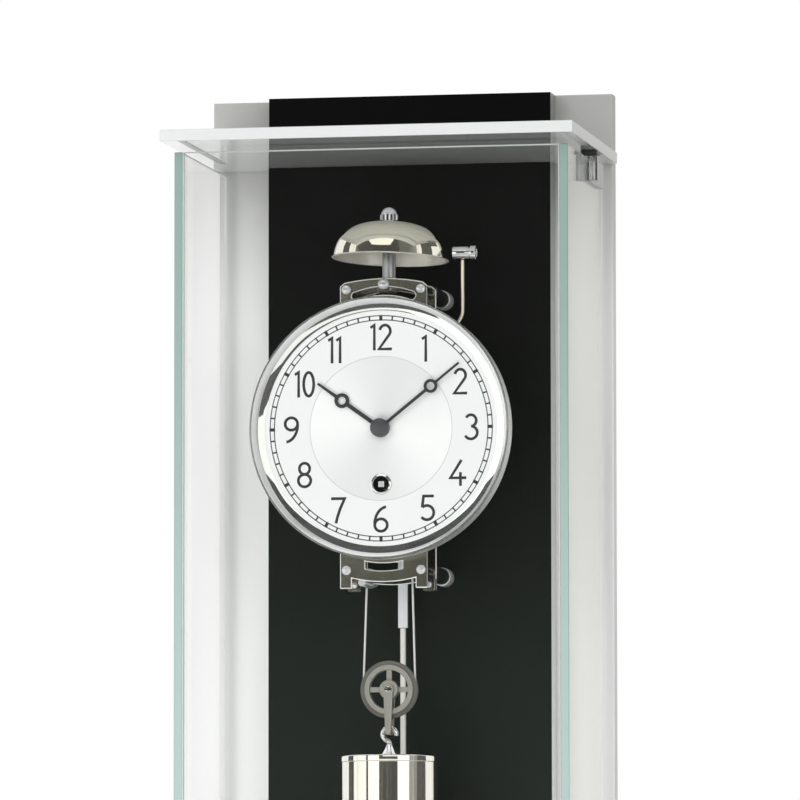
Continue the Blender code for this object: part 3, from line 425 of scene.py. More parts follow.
# painted highlight: a pale, barely metallic finish for the bright lines along the plates' edges
plateEdgeHighlight = grained("plateEdgeHighlight", (250, 250, 244), (242, 242, 234), (0.3, 0.4), fine, 0.2)
# painted highlight: a pale, half metallic copy of the chrome for the posts' collars
collarHighlightFinish = grained("collarSatinHighlight", (236, 237, 234), (222, 223, 220), (0.28, 0.38), fine, 0.4)
castFinish = grained("castNickel", (180, 179, 172), (164, 163, 156), (0.36, 0.48), fine, 0.75, 0.10)
steelFinish = grained("brightSteel", (216, 216, 212), (196, 196, 192), (0.14, 0.24), (300.0, 300.0, 60.0), 1.0)
screwFinish = grained("screwSteel", (246, 248, 252), (232, 235, 240), (0.16, 0.26), 900.0, 0.7)
brassFinish = grained("polishedBrass", (214, 178, 104), (196, 158, 86), (0.14, 0.24), 300.0, 1.0)
ropeFinish = grained(
    "wireRope", (246, 247, 245), (190, 191, 190), (0.3, 0.45), (2500.0, 2500.0, 900.0), 0.3, 0.4
)
dialWhite = grained("dialWhite", (243, 243, 244), (240, 240, 241), (0.36, 0.46), 1500.0, 0.0, 0.02)
inkFinish = grained("dialInk", (48, 49, 51), (40, 41, 43), (0.5, 0.6), 1500.0)
innerInk = grained("dialFineLine", (196, 198, 200), (188, 190, 192), (0.4, 0.5), 1500.0)
bezelEdge = grained("bezelEdge", (242, 243, 242), (228, 229, 228), (0.3, 0.4), 700.0, 0.55)
bezelSlope = grained("bezelSlope", (250, 251, 251), (245, 246, 246), (0.30, 0.36), 700.0, 0.7)
handFinish = grained("handCharcoal", (58, 60, 62), (48, 50, 52), (0.34, 0.44), fine, 0.2, 0.04)
# painted sheen: the hand nut is a lighter copy of the hands' charcoal
hubSheenFinish = grained("hubCharcoalSheen", (86, 88, 90), (74, 76, 78), (0.29, 0.36), fine, 0.3, 0.04)
bellNickel = grained("bellNickel", (248, 245, 230), (242, 239, 222), (0.03, 0.06), broad, 1.0)
bellInside = grained(
    "bellInside", (255, 253, 246), (250, 247, 238), (0.32, 0.42), (60.0, 60.0, 600.0), 0.55, 0.02
)
postFinish = grained("postSatin", (190, 192, 194), (172, 174, 176), (0.29, 0.36), (900.0, 900.0, 60.0), 1.0)
wireBrass = grained("hammerWire", (250, 244, 222), (240, 232, 206), (0.2, 0.26), (300.0, 300.0, 60.0), 0.7)
lipFinish = grained("pulleyLip", (124, 123, 117), (112, 111, 106), (0.36, 0.46), fine, 0.6)
leaderFinish = grained("leaderWhite", (248, 250, 253), (243, 245, 249), (0.35, 0.45), 800.0, 0.0, 0.04)
rodFinish = grained("rodSatin", (252, 249, 242), (246, 243, 236), (0.29, 0.36), (600.0, 600.0, 60.0), 0.2)
# dark finish, mostly painted shade: holes, recesses and slits, and the dark reflection on the post sleeves
paintedDarkFinish = grained("darkPlasticPaintedShade", (36, 38, 37), (28, 30, 29), (0.3, 0.4), 700.0, 0.0, 0.05)
# green glass edge with painted shade: darker toward the top
greenEdgeShadedTop = faded(
    "glassEdge", (-0.40, 0.0), (176, 197, 192), (143, 169, 162), (0.15, 0.25), (300.0, 300.0, 20.0)
)
edgePale = grained("glassEdgePale", (228, 231, 229), (216, 220, 217), (0.2, 0.26), (300.0, 300.0, 20.0))


def makeGlass(name, colour, clear, bending):
    material, tree, shader = finishOf(name, (*colour, 1), 0.0, Transmission_Weight=clear, IOR=bending)
    path = addNode(tree, "ShaderNodeLightPath")
    tint = (0.97 * clear, 0.975 * clear, 0.97 * clear, 1)
    through = addNode(tree, "ShaderNodeBsdfTransparent", {"Color": tint})
    either = figure(tree, "MAXIMUM", path["Is Shadow Ray"], path["Is Diffuse Ray"])
    mixShaders(tree, either, shader.outputs["BSDF"], through["BSDF"])
    return material


clearGlass = makeGlass("clearGlass", (0.997, 0.999, 0.998), 1.0, 1.33)
shelfGlass = makeGlass("shelfGlass", (0.93, 0.94, 0.935), 0.5, 1.5)


def makeSunburstFinish(centre):
    material, tree, shader = finishOf("dialCentre", tone(240, 240, 241), 0.34)
    values = {"Centre": centre, "Light": tone(250, 250, 250), "Shade": tone(229, 229, 231)}
    # Turn places the painted sheen's bright lobes
    values.update({"Turn": math.radians(104), "Streaks": 0.25})
    burst = addNode(tree, "ShaderNodeGroup", values, node_tree=sunburstGroup)
    feed(tree, shader.inputs["Base Color"], burst["Colour"])
    emboss(tree, shader, burst["Height"], 0.03)
    return material


print("finishes: made")

# geometry node trees


def closeTree(tree, shape, put, out):
    real = addNode(tree, "GeometryNodeRealizeInstances", {"Geometry": shape})["Geometry"]
    paint = addNode(tree, "GeometryNodeSetMaterial", {"Geometry": real, "Material": put["Finish"]})
    feed(tree, out["Geometry"], paint["Geometry"])


def makeRingTree():  # bars set round a circle: ticks, knurls and ribs
    tree, ids, put, out = newTree(
        "ringOfBars",
        "GeometryNodeTree",
        (
            ("Count", "Int", 60),
            ("Radius", "Float", 0.07),
            ("Bar", "Vector", (0.001, 0.001, 0.001)),
            ("Finish", "Material", None),
        ),
        (("Geometry", "Geometry"),),
    )
    ring = addNode(tree, "GeometryNodeMeshCircle", {"Vertices": put["Count"], "Radius": put["Radius"]})["Mesh"]
    bar = addNode(tree, "GeometryNodeMeshCube", {"Size": put["Bar"]})["Mesh"]
    share = figure(tree, "DIVIDE", addNode(tree, "GeometryNodeInputIndex")[0], put["Count"])
    spin = addNode(tree, "ShaderNodeCombineXYZ", {"Z": figure(tree, "MULTIPLY", share, 2 * math.pi)})["Vector"]
    spread = addNode(tree, "GeometryNodeInstanceOnPoints", {"Points": ring, "Instance": bar, "Rotation": spin})
    closeTree(tree, spread["Instances"], put, out)
    return tree, ids


def makeScrewTree():  # slotted screw heads on the points of a mesh
    tree, ids, put, out = newTree(
        "slottedScrews",
        "GeometryNodeTree",
        (
            ("Points", "Geometry", None),
            ("Radius", "Float", 0.003),
            ("Height", "Float", 0.0014),
            ("Slot", "Float", 0.0008),
            ("Finish", "Material", None),
        ),
        (("Geometry", "Geometry"),),
    )

    def lengths(**sides):
        return addNode(tree, "ShaderNodeCombineXYZ", sides)["Vector"]

    sizes = {"Segments": 28, "Rings": 14, "Radius": put["Radius"]}
    ball = addNode(tree, "GeometryNodeMeshUVSphere", sizes)["Mesh"]
    squash = lengths(X=1.0, Y=1.0, Z=figure(tree, "DIVIDE", put["Height"], put["Radius"]))
    head = addNode(tree, "GeometryNodeTransform", {"Scale": squash, "Geometry": ball})["Geometry"]
    wide = figure(tree, "MULTIPLY", put["Radius"], 3.0)
    groove = lengths(X=wide, Y=put["Slot"], Z=put["Height"])
    bar = addNode(tree, "GeometryNodeMeshCube", {"Size": groove})["Mesh"]
    under = addNode(tree, "GeometryNodeMeshCube", {"Size": lengths(X=wide, Y=wide, Z=wide)})["Mesh"]
    cutter = tree.nodes.new("GeometryNodeMeshBoolean")
    cutter.operation = "DIFFERENCE"
    feed(tree, cutter.inputs["Mesh 1"], head)
    for shape, share, size in ((bar, 0.95, put["Height"]), (under, -0.5, wide)):
        rise = lengths(Z=figure(tree, "MULTIPLY", size, share))
        lifted = addNode(tree, "GeometryNodeTransform", {"Translation": rise, "Geometry": shape})["Geometry"]
        feed(tree, cutter.inputs["Mesh 2"], lifted)
    slant = figure(tree, "MULTIPLY", addNode(tree, "GeometryNodeInputIndex")[0], 0.9)
    aim = lengths(X=math.pi / 2, Y=slant)
    places = {"Points": put["Points"], "Instance": cutter.outputs["Mesh"], "Rotation": aim}
    closeTree(tree, addNode(tree, "GeometryNodeInstanceOnPoints", places)["Instances"], put, out)
    return tree, ids


ringTree, ringIds = makeRingTree()
screwTree, screwIds = makeScrewTree()


def grow(name, tree, ids, values, points=(), sharp=30):
    mesh = bpy.data.meshes.new(name + "Seed")
    mesh.from_pydata([tuple(p) for p in points], [], [])
    seed = bpy.data.objects.new(name, mesh)
    scene.collection.objects.link(seed)
    modifier = seed.modifiers.new("grow", "NODES")
    modifier.node_group = tree
    for label, value in values.items():
        modifier[ids[label]] = value
    return settle(seed, sharp)


def ringBars(name, count, radius, bar, finish, place):
    piece = grow(name, ringTree, ringIds, {"Count": count, "Radius": radius, "Bar": bar, "Finish": finish})
    piece.data.transform(place)
    return piece


print("trees: made")

# board, panel and shelves

boardSizes = {"edge": 0.0006, "shelfEdge": 0.0007, "panelEdge": 0.0003, "panelSpread": 0.0011, "trim": 0.0015}


def makeBoards():
    low, high = corners("backboard")
    high.x -= boardSizes["trim"]
    plain = block("silverBoard", low, high, silverLacquerShadedTop, boardSizes["edge"])
    mount(plain, "case", "silver", "backboard")
    low, high = corners("black_panel")
    high.x += boardSizes["panelSpread"]
    panel = block("blackPanel", low, high, blackLacquerLitLow, boardSizes["panelEdge"])
    panel.data.materials.append(panelSideShadedTop)
    for face in panel.data.polygons:
        if abs(face.normal.x) > 0.5:
            face.material_index = 1
    mount(panel, "case", "black", "black_panel")
    for name, node in (("topShelf", "top_shelf"), ("bottomShelf", "bottom_shelf")):
        makeShelf(name, node)


def makeShelf(name, node):
    low, high = corners(node)
    panelLow, panelHigh = corners("black_panel")
    gap = 0.0003
    left, right = panelLow.x - gap, panelHigh.x + boardSizes["panelSpread"] + gap
    rear, notch = high.y, panelLow.y - gap
    outline = [(low.x, low.y), (high.x, low.y), (high.x, rear), (right, rear)]
    outline += [(right, notch), (left, notch), (left, rear), (low.x, rear)]
    bm = bmesh.new()
    face = bm.faces.new([bm.verts.new((u, v, low.z)) for u, v in outline])
    made = bmesh.ops.extrude_face_region(bm, geom=[face])
    moved = [item for item in made["geom"] if isinstance(item, bmesh.types.BMVert)]
    bmesh.ops.translate(bm, vec=(0, 0, high.z - low.z), verts=moved)
    shelf = soften(makePiece(name, bm, [shelfWhite, shelfGlass, shelfUnder]), boardSizes["shelfEdge"], 3, 10)
    for face in shelf.data.polygons:
        if abs(face.normal.z) > 0.98:
            face.material_index = 1 if face.normal.z > 0 else 2
    mount(shelf, "case", "shelf_white", node)


makeBoards()
print("boards: made")

# glass hood

hoodSizes = {
    "arris": 0.0005,
    "leaf": 0.0024,
    "leafEdge": 0.0004,
    "barrelEdge": 0.0005,
    "base": 0.0026,
    "baseEdge": 0.0003,
}


def makePane(name, node, thin):
    low, high = corners(node)
    pane = block(name, low, high, clearGlass, hoodSizes["arris"], 1)
    pane.data.materials.append(edgePale)
    pane.data.materials.append(greenEdgeShadedTop)
    for face in pane.data.polygons:
        # the front ends of the side panes take the green edge with painted shade, the other edges stay pale
        if abs(face.normal[thin]) < 0.9:
            face.material_index = 2 if thin == 0 and face.normal.y < -0.5 else 1
    mount(pane, "hood", "glass", node)


def makeHinge(end):
    s = hoodSizes
    low, high = corners("hinge_clamp_" + end)
    radius = (high.x - low.x) / 2
    axis = Vector((high.x - radius, low.y + radius, 0))
    profile = rounded(rod(radius, low.z, high.z), s["barrelEdge"])
    barrel = spun("barrel", profile, axis, (0, 0, 1), hingeFinish, 48)
    far = (low.x + s["leaf"], high.y, high.z)
    leaf = block("leaf", (low.x, axis.y, low.z), far, hingeFinish, s["leafEdge"])
    clamp = joined("hingeClamp" + end.title(), barrel, leaf)
    mount(clamp, "hood", "chrome", "hinge_clamp_" + end)
    low, high = corners("hinge_base_" + end)
    if end == "top":  # a plate against the shelf
        low.z = high.z - s["base"]
    else:
        high.z = low.z + s["base"]
    # dark base plate: a black washer, painted dark also for the shade line against the shelf
    base = block("hingeBase" + end.title(), low, high, paintedDarkFinish, s["baseEdge"])
    mount(base, "case", "chrome", "hinge_base_" + end)


makePane("glassFront", "glass_front", 1)
makePane("glassLeft", "glass_left", 0)
makePane("glassRight", "glass_right", 0)
makeHinge("top")
makeHinge("bottom")
print("hood: made")

# movement frame

frameSizes = {
    "plate": 0.0022,
    "plateEdge": 0.0006,
    "corner": 0.0018,
    "lug": (0.0082, 0.0952),
    "arch": 0.0033,
    "crown": 0.0950,
    "foot": 0.1030,
    "leg": 0.0078,
    "notch": 0.0067,
    "sag": 0.0026,
    "slot": (0.0210, 0.0052, 0.0868),
    "window": (0.0122, 0.0047, -0.0878),
    "post": 0.0140,
}
screwSets = {  # plate, places from the middle of the dial, then radius, height and slot
    "cornerScrews": (
        "front_plate",
        [(-0.0245, 0.0911), (0.0245, 0.0911), (-0.0245, -0.0911), (0.0245, -0.0911)],
        (0.00315, 0.0015, 0.0009),
    ),
    "bridgeScrew": ("front_plate", [(0.0, 0.0944)], (0.00375, 0.0022, 0.0009)),
    "lugScrews": ("back_plate", [(-0.0246, -0.0992), (0.0246, -0.0992)], (0.0021, 0.0012, 0.0006)),
}
dialMiddle = middleOf("dial")


def archedSlot(half, height, rise, bow, endRound=True, points=15):  # long sides follow the arch
    loop = []
    straight = half - height / 2 if endRound else half
    for sign in (1, -1):
        for k in range(points):
            t = sign * (2 * k / (points - 1) - 1)
            loop.append((t * straight, dialMiddle.z + rise - sign * height / 2 + bow * (1 - t * t)))
        side = -90 if sign > 0 else 90
        if endRound:
            loop += bend(sign * straight, dialMiddle.z + rise, height / 2, side, side + 180, 9)[1:-1]
    return loop


def makePlate(name, node, holes):
    low, high = corners(node)
    s = frameSizes
    half = high.x
    leg = half - s["leg"]
    z = dialMiddle.z
    front = low.y if node == "front_plate" else high.y - s["plate"]
    span = 21
    loop = [(-half, z - s["foot"]), (-leg, z - s["foot"])]
    for k in range(span):
        t = 2 * k / (span - 1) - 1
        loop.append((t * leg, z - (s["foot"] - s["notch"] + s["sag"] * (1 - t * t))))
    loop += [(leg, z - s["foot"]), (half, z - s["foot"])]
    for k in range(span):
        t = 1 - 2 * k / (span - 1)
        drop = s["corner"] * max(0.0, abs(t) - 0.95) / 0.05
        loop.append((t * half, z + s["crown"] + s["arch"] * (1 - t * t) - drop))
    wide, tall, rise = s["window"]
    if node == "back_plate":
        wide, tall = wide + 0.0045, tall + 0.0050
    lower = archedSlot(wide, tall, rise, -s["sag"] / 2, False)
    loops = [loop, archedSlot(*s["slot"], s["arch"]), lower, *holes]
    plate = cutOut(name, loops, front, s["plate"], plateFinish, s["plateEdge"], False)
    plate.data.materials.append(plateEdgeHighlight)
    # painted highlight on the bevel faces
    for face in plate.data.polygons:
        if 0.2 < abs(face.normal.y) < 0.98:
            face.material_index = 1
    if node == "back_plate":
        wide, top = s["lug"][0], z - s["lug"][1]
        lugs = []
        for x in (low.x, high.x - wide):
            lugs.append(block("lug", (x, low.y, low.z), (x + wide, front + 0.0004, top), plateFinish))
        plate = joined(name, plate, *lugs)
    mount(plate, "case", "plate_nickel", node)


def makeFrame():
    bores = [ringOf(0, middleOf("winding_drum").z, 0.0027, 32), ringOf(0, dialMiddle.z, 0.0016, 24)]
    makePlate("frontPlate", "front_plate", bores)
    makePlate("backPlate", "back_plate", [ringOf(0, palletZ, 0.0016, 24)])
    for level in ("top", "bottom"):
        for side in ("left", "right"):
            makePillar(level, side)
    makeScrews()
    low, high = corners("bell_bridge")
    mount(block("bellBridge", low, high, plateFinish), "case", "plate_nickel", "bell_bridge")


def makePillar(level, side):
    low, high = corners(f"pillar_{level}_{side}")
    radius = (high.x - low.x) / 2
    middle = (low + high) / 2
    long = high.y - low.y
    waist = radius * 0.86
    profile = [(0, 0), (radius, 0), (radius, 0.004), (waist, 0.0052), (waist, long - 0.0052)]
    profile += [(radius, long - 0.004), (radius, long), (0, long)]
    name, spot = level.title() + side.title(), (middle.x, low.y, middle.z)
    pillar = spun("pillar" + name, rounded(profile, 0.0004), spot, (0, 1, 0), plateFinish, 40)
    mount(pillar, "case", "plate_nickel", f"pillar_{level}_{side}")
    low, high = corners(f"mounting_post_{level}_{side}")
    radius = (high.x - low.x) / 2
    long = high.y - low.y
    foot, spot = long - frameSizes["post"], (middle.x, low.y, middle.z)
    # painted reflection: the chrome post's sleeve is dark, standing for its mirror image of the black panel
    sleeve = spun("sleeve", rod(radius - 0.0001, 0, foot), spot, (0, 1, 0), paintedDarkFinish, 48)
    # painted highlight: the collar is paler than chrome, for the bright crescent on the post
    ring = spun("collar", rounded(rod(radius + 0.0006, foot, long), 0.0008), spot, (0, 1, 0), collarHighlightFinish, 48)
    mount(joined("mountingPost" + name, sleeve, ring), "case", "chrome", f"mounting_post_{level}_{side}")


def screws(name, places, sizes, finish):
    values = dict(zip(("Radius", "Height", "Slot"), sizes), Finish=finish)
    return grow(name, screwTree, screwIds, values, places)


def makeScrews():
    for name, (plate, spots, sizes) in screwSets.items():
        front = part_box(plate)[0][1]
        places = [(x, front, dialMiddle.z + z) for x, z in spots]
        mount(screws(name, places, sizes, screwFinish), "case", "steel")


makeFrame()
print("movement frame: made")

# dial and bezel

dialSizes = {
    "inner": 0.0467,
    "innerLine": 0.00016,
    "track": (0.0702, 0.0730),
    "trackLine": 0.00032,
    "tick": 0.0010,
    "hourTick": 0.0021,
    "numeralRadius": 0.0590,
    "stroke": 0.00182,
    "ink": 0.00006,
    "winding": 0.0362,
    "windingHole": 0.0058,
    "handHole": 0.0046,
    "plate": 0.001,
    "bezelOpening": 0.0762,
    "bezelFoot": 0.0780,
    "bezelCove": 0.0808,
    "bezelTilt": (11.5, 14.8),  # degrees at the inner and outer edge of the polished band
    "bezelSeat": 0.0004,
    "bezelSag": 0.0003,
    "bezelWall": 0.0015,
    "bezelEdge": 0.0007,
    "bezelLift": 0.0010,
}
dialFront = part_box("dial")[0][1]


def makeDial():
    s = dialSizes
    low, high = corners("dial")
    radius = (high.x - low.x) / 2
    z = dialMiddle.z
    edge = ringOf(0, z, s["inner"], 160)
    outer = cutOut("outer", [ringOf(0, z, radius, 160), edge], low.y, s["plate"], dialWhite)
    loops = [edge, ringOf(0, z, s["handHole"], 48), ringOf(0, z - s["winding"], s["windingHole"], 48)]
    inner = cutOut("inner", loops, low.y, s["plate"], makeSunburstFinish((0, low.y, z)))
    mount(joined("dialPlate", outer, inner), "case", "dial_white", "dial")

    lines = []
    for name, place, width in (
        ("inner", s["inner"], s["innerLine"]),
        ("trackIn", s["track"][0], s["trackLine"]),
        ("trackOut", s["track"][1], s["trackLine"]),
    ):
        loops = [ringOf(0, z, place + width, 180), ringOf(0, z, place - width, 180)]
        finish = innerInk if name == "inner" else inkFinish
        lines.append(cutOut(name, loops, dialFront - s["ink"], s["ink"], finish))
    mount(joined("dialLines", *lines), "case", "dial_white")

    place = Matrix.Translation((0, dialFront - s["ink"] / 2, z)) @ toFront
    middle = sum(s["track"]) / 2
    deep = s["track"][1] - s["track"][0]
    ticks = ringBars("minuteTicks", 60, middle, (deep, s["tick"], s["ink"]), inkFinish, place)
    mount(ticks, "case", "dial_white")
    marks = ringBars("hourTicks", 12, middle, (deep * 1.3, s["hourTick"], s["ink"] * 1.4), inkFinish, place)
    mount(marks, "case", "dial_white")
    mount(makeNumerals(), "case", "dial_white")


# each stroke in millimetres from the middle of its figure: points of a line, or an ellipse's arc
figureStrokes = {
    "0": [("arc", 0, 0, 3.3, 7.7, 0, 360)],
    "1": [("line", (-2.5, 6.2), (0, 7.9), (0, -8.5))],
    "2": [("arc", 0.1, 3.9, 3.5, 3.9, 168, -30), ("line", (3.13, 1.95), (-3.9, -7.7), (4.6, -7.7))],
    "3": [("arc", 0, 4.0, 3.5, 3.7, 150, -88), ("arc", 0, -3.8, 4.2, 4.1, 88, -152)],
    "4": [("line", (2.5, 8.3), (-4.8, -3.2), (5.6, -3.2)), ("line", (1.8, 0.4), (1.8, -8.4))],
    "5": [("line", (3.9, 7.6), (-2.9, 7.6), (-3.8, 0.4)), ("arc", -0.7, -3.1, 4.5, 4.6, 132, -142)],
    "6": [("arc", 4.2, -3.4, 8.4, 11.5, 96, 178), ("arc", 0, -3.7, 4.1, 4.0, 0, 360)],
    "7": [("line", (-4.6, 7.6), (4.3, 7.6), (1.5, 1.3), (-0.4, -4.2), (-1.4, -8.4))],
    "8": [("arc", 0, 4.0, 3.4, 3.6, 0, 360), ("arc", 0, -3.7, 4.1, 4.0, 0, 360)],
    "9": [("arc", -4.2, 3.4, 8.4, 11.5, 276, 358), ("arc", 0, 3.7, 4.1, 4.0, 0, 360)],
}
figureWidths = {"0": 8.0, "1": 5.3, "2": 8.6}
figureShifts = {2: (0.9, 0.0), 4: (-0.8, -0.2), 5: (1.3, -0.9), 7: (1.3, -1.7), 8: (0.8, 0.0), 10: (0.9, -0.2)}


def strokePath(stroke):
    if stroke[0] == "line":
        return [Vector(p) for p in stroke[1:]]
    _, u, v, wide, tall, first, last = stroke
    steps = 40 if abs(last - first) == 360 else 24
    angles = [math.radians(first + (last - first) * k / steps) for k in range(steps + 1)]
    return [Vector((u + wide * math.cos(a), v + tall * math.sin(a))) for a in angles]


def strokeLoops(path, half):  # the outline of a pen stroke of even width
    closed = (path[0] - path[-1]).length < 1e-6
    points = path[:-1] if closed else path
    sides = ([], [])
    count = len(points)
    for k, here in enumerate(points):
        before = points[k - 1] if closed or k else here
        after = points[(k + 1) % count] if closed or k < count - 1 else here
        first = (here - before).normalized() if (here - before).length > 1e-9 else None
        second = (after - here).normalized() if (after - here).length > 1e-9 else None
        first, second = first or second, second or first
        along = (first + second).normalized()
        across = Vector((-along.y, along.x))
        stretch = min(1.8, 1 / max(0.3, across.dot(Vector((-first.y, first.x)))))
        sides[0].append(here + across * half * stretch)
        sides[1].append(here - across * half * stretch)
    if closed:
        return [sides[0], sides[1]]
    return [sides[0] + sides[1][::-1]]


def makeNumerals():
    s = dialSizes
    half = s["stroke"] * 500
    strokes = []
    for hour in range(1, 13):
        a = math.radians(30 * hour)
        spot = Vector((math.sin(a), math.cos(a))) * s["numeralRadius"] * 1000
        spot += Vector(figureShifts.get(hour, (0, 0)))
        text = str(hour)
        wide = [figureWidths.get(c, 10.4) for c in text]
        left = -sum(wide) / 2
        for character, width in zip(text, wide):
            shift = spot + Vector((left + width / 2, 0))
            left += width
            for stroke in figureStrokes[character]:
                loops = strokeLoops([p + shift for p in strokePath(stroke)], half)
                flat = [[(p.x / 1000, dialMiddle.z + p.y / 1000) for p in loop] for loop in loops]
                lift = s["ink"] * (1 + 0.1 * (len(strokes) % 2))
                strokes.append(cutOut("stroke", flat, dialFront - lift, lift, inkFinish))
    return joined("dialNumerals", *strokes)


def makeBezel():
    s = dialSizes
    low, high = corners("bezel")
    radius = (high.x - low.x) / 2
    deep = high.y - low.y + s["bezelLift"]
    lip = high.y - dialFront + 0.0003
    inner, edge, foot, cove = radius - s["bezelWall"], s["bezelEdge"], s["bezelFoot"], s["bezelCove"]
    flat, steep = (math.tan(math.radians(angle)) for angle in s["bezelTilt"])
    opening, behind = s["bezelOpening"], lip - 0.0002

    def bandHeight(reach):
        t = (reach - foot) / (cove - foot)
        return lip + s["bezelSeat"] + (reach - foot) * (flat + (steep - flat) * t / 2)

    step = bandHeight(cove)
    profile = [(inner, 0), (radius - 0.0009, 0), (radius - 0.0005, 0.0004), (radius, deep - 2 * edge)]
    profile += bend(radius - edge, deep - edge, edge, 0, 146, 9)
    top = profile[-1]
    for k in (1, 2, 3, 4, 5, 5.8, 6):  # a little hollow
        t = k / 6
        sag = s["bezelSag"] * math.sin(math.pi * t)
        profile.append((top[0] + (cove - top[0]) * t, top[1] + (step - top[1]) * t - sag))
    for k in (0.04, 0.25, 0.5, 0.75, 0.96, 1):  # the polished band, with close loops at its edges
        reach = cove + (foot - cove) * k
        profile.append((reach, bandHeight(reach)))
    profile += [(foot - 0.0001, lip + 0.00038), (opening + 0.0002, lip + 0.00021)]
    profile += [(opening, behind), (inner, behind)]
    finishes = [chromeFinish, bezelEdge, bezelSlope, hingeFinish]
    bezel = spun("bezelRing", profile, (0, high.y, dialMiddle.z), (0, -1, 0), finishes, 192, 30)
    for face in bezel.data.polygons:
        reach = math.hypot(face.center.x, face.center.z - dialMiddle.z)
        if face.center.y > high.y - deep + 2.2 * edge and reach > radius - 0.001:
            face.material_index = 1
        elif reach > top[0] and face.center.y < dialFront:
            face.material_index = 3
        elif reach > cove and face.normal.y < -0.2:
            face.material_index = 2
    mount(bezel, "case", "chrome", "bezel")


def makeGrommet():
    low, high = corners("winding_grommet")
    outer = (high.x - low.x) / 2 + 0.0005
    bore, wall = 0.0052, 0.0005
    front = high.y - low.y
    ring = [(bore, 0), (bore + wall, 0), (bore + wall, 0.0016), (outer, 0.0016), (outer - 0.0003, 0.0020)]
    ring += [(outer - 0.0012, front - 0.0001), (bore + 0.0003, front), (bore, front - 0.0003)]
    spot = (0, high.y, dialMiddle.z - dialSizes["winding"])
    grommet = spun("ring", ring, spot, (0, -1, 0), chromeFinish, 64, 50)
    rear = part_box("front_plate")[0][1] - high.y - 0.0003
    # painted shade: a dark sleeve lines the bore to darken the winding hole
    tube = [(bore - 0.0003, -rear), (bore, -rear), (bore, 0.0004), (bore - 0.0003, 0.0004)]
    tube += [(0.0030, -rear + 0.0004), (0.0030, -rear)]
    sleeve = spun("sleeve", tube, spot, (0, -1, 0), paintedDarkFinish, 48)
    grommet = joined("windingGrommet", grommet, sleeve)
    mount(grommet, "case", "chrome", "winding_grommet")


def makeWindingSquare():
    low = corners("winding_drum")[0]
    half = 0.0019
    near, far = (-half, low.y - 0.0006, drumZ - half), (half, low.y, drumZ + half)
    end = block("square", near, far, screwFinish, 0.0003)
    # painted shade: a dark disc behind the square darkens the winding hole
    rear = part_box("front_plate")[0][1] - 0.0012
    holeShadeDisc = spun("holeShadeDisc", rod(0.0047, 0, 0.0003), (0, rear, drumZ), (0, -1, 0), paintedDarkFinish, 32)
    mount(joined("windingSquare", end, holeShadeDisc), "drum", "steel")


makeDial()
makeBezel()
makeGrommet()
makeWindingSquare()
print("dial: made")

# hands

handSizes = {
    "hourAngle": 305.5,
    "minuteAngle": 51.4,
    "hour": (0.0507, 0.0312, 0.0048, 0.0038),
    "minute": (0.0662, 0.0425, 0.0045, 0.0025),
    "ringHole": 0.0026,
    "half": {"hour": 0.0013, "minute": 0.00098},
    "tip": 0.0007,
    "hub": 0.0060,
}


def handLoops(length, ringAt, ring, bore, half, angle):
    s = handSizes
    hub = s["hub"]
    lean = math.degrees(math.asin(half / hub))
    foot = math.degrees(math.asin(half / ring))
    tip = s["tip"]
    loop = bend(0, 0, hub, 90 - lean, -270 + lean, 40)
    loop += bend(0, ringAt, ring, 270 - foot, 90 + foot, 28)
    past = ringAt + ring + 0.001
    loop += [(-half * 0.8, past), (-tip, length), (tip, length), (half * 0.8, past)]
    loop += bend(0, ringAt, ring, 90 - foot, -90 + foot, 28)
    loops = [loop, ringOf(0, 0, bore, 36), ringOf(0, ringAt, s["ringHole"], 36)]
    c, d = math.cos(math.radians(angle)), math.sin(math.radians(angle))
    return [[(u * c + v * d, dialMiddle.z - u * d + v * c) for u, v in points] for points in loops]


def makeHands():
    s = handSizes
    for name, body, node in (("hourHand", "hour", "hour_hand"), ("minuteHand", "minute", "minute_hand")):
        low, high = corners(node)
        length, ringAt, ring, bore = s[body]
        loops = handLoops(length, ringAt, ring, bore, s["half"][body], s[body + "Angle"])
        hand = cutOut(name, loops, low.y, high.y - low.y, handFinish, 0.00022)
        mount(hand, body, "hand_charcoal", node)
    low, high = corners("hand_nut")
    radius, deep = (high.x - low.x) / 2, high.y - low.y
    profile = [(0, 0.0012), (0.0025, 0.0012), (0.0025, 0), (radius, 0), (radius, deep * 0.6)]
    for k in range(1, 9):
        a = math.radians(90 * k / 8)
        profile.append((radius * math.cos(a) * 0.999 if k < 8 else 0, deep * 0.6 + deep * 0.4 * math.sin(a)))
    nut = spun("handNut", profile, (0, high.y, dialMiddle.z), (0, -1, 0), hubSheenFinish, 64)
    mount(nut, "minute", "hand_charcoal", "hand_nut")


makeHands()
print("hands: made")

# bell and hammer

bellSizes = {
    "wall": 0.0016,
    "bead": 0.0002,
    "hole": 0.0034,
    "ribs": 14,
    "tilt": (1.4, 1.9),  # degrees: mouth toward the room, right side down
    "shift": 0.0017,
    "trim": 0.0008,
    "tall": 0.0253,
    "slopes": (  # height in millimetres and lean of the wall in degrees
        (0.0, 6), (5.0, 11), (10.0, 20), (13.0, 33), (15.5, 41),
        (19.0, 53), (21.7, 66), (23.6, 76), (24.7, 84), (25.3, 89),
    ),
}


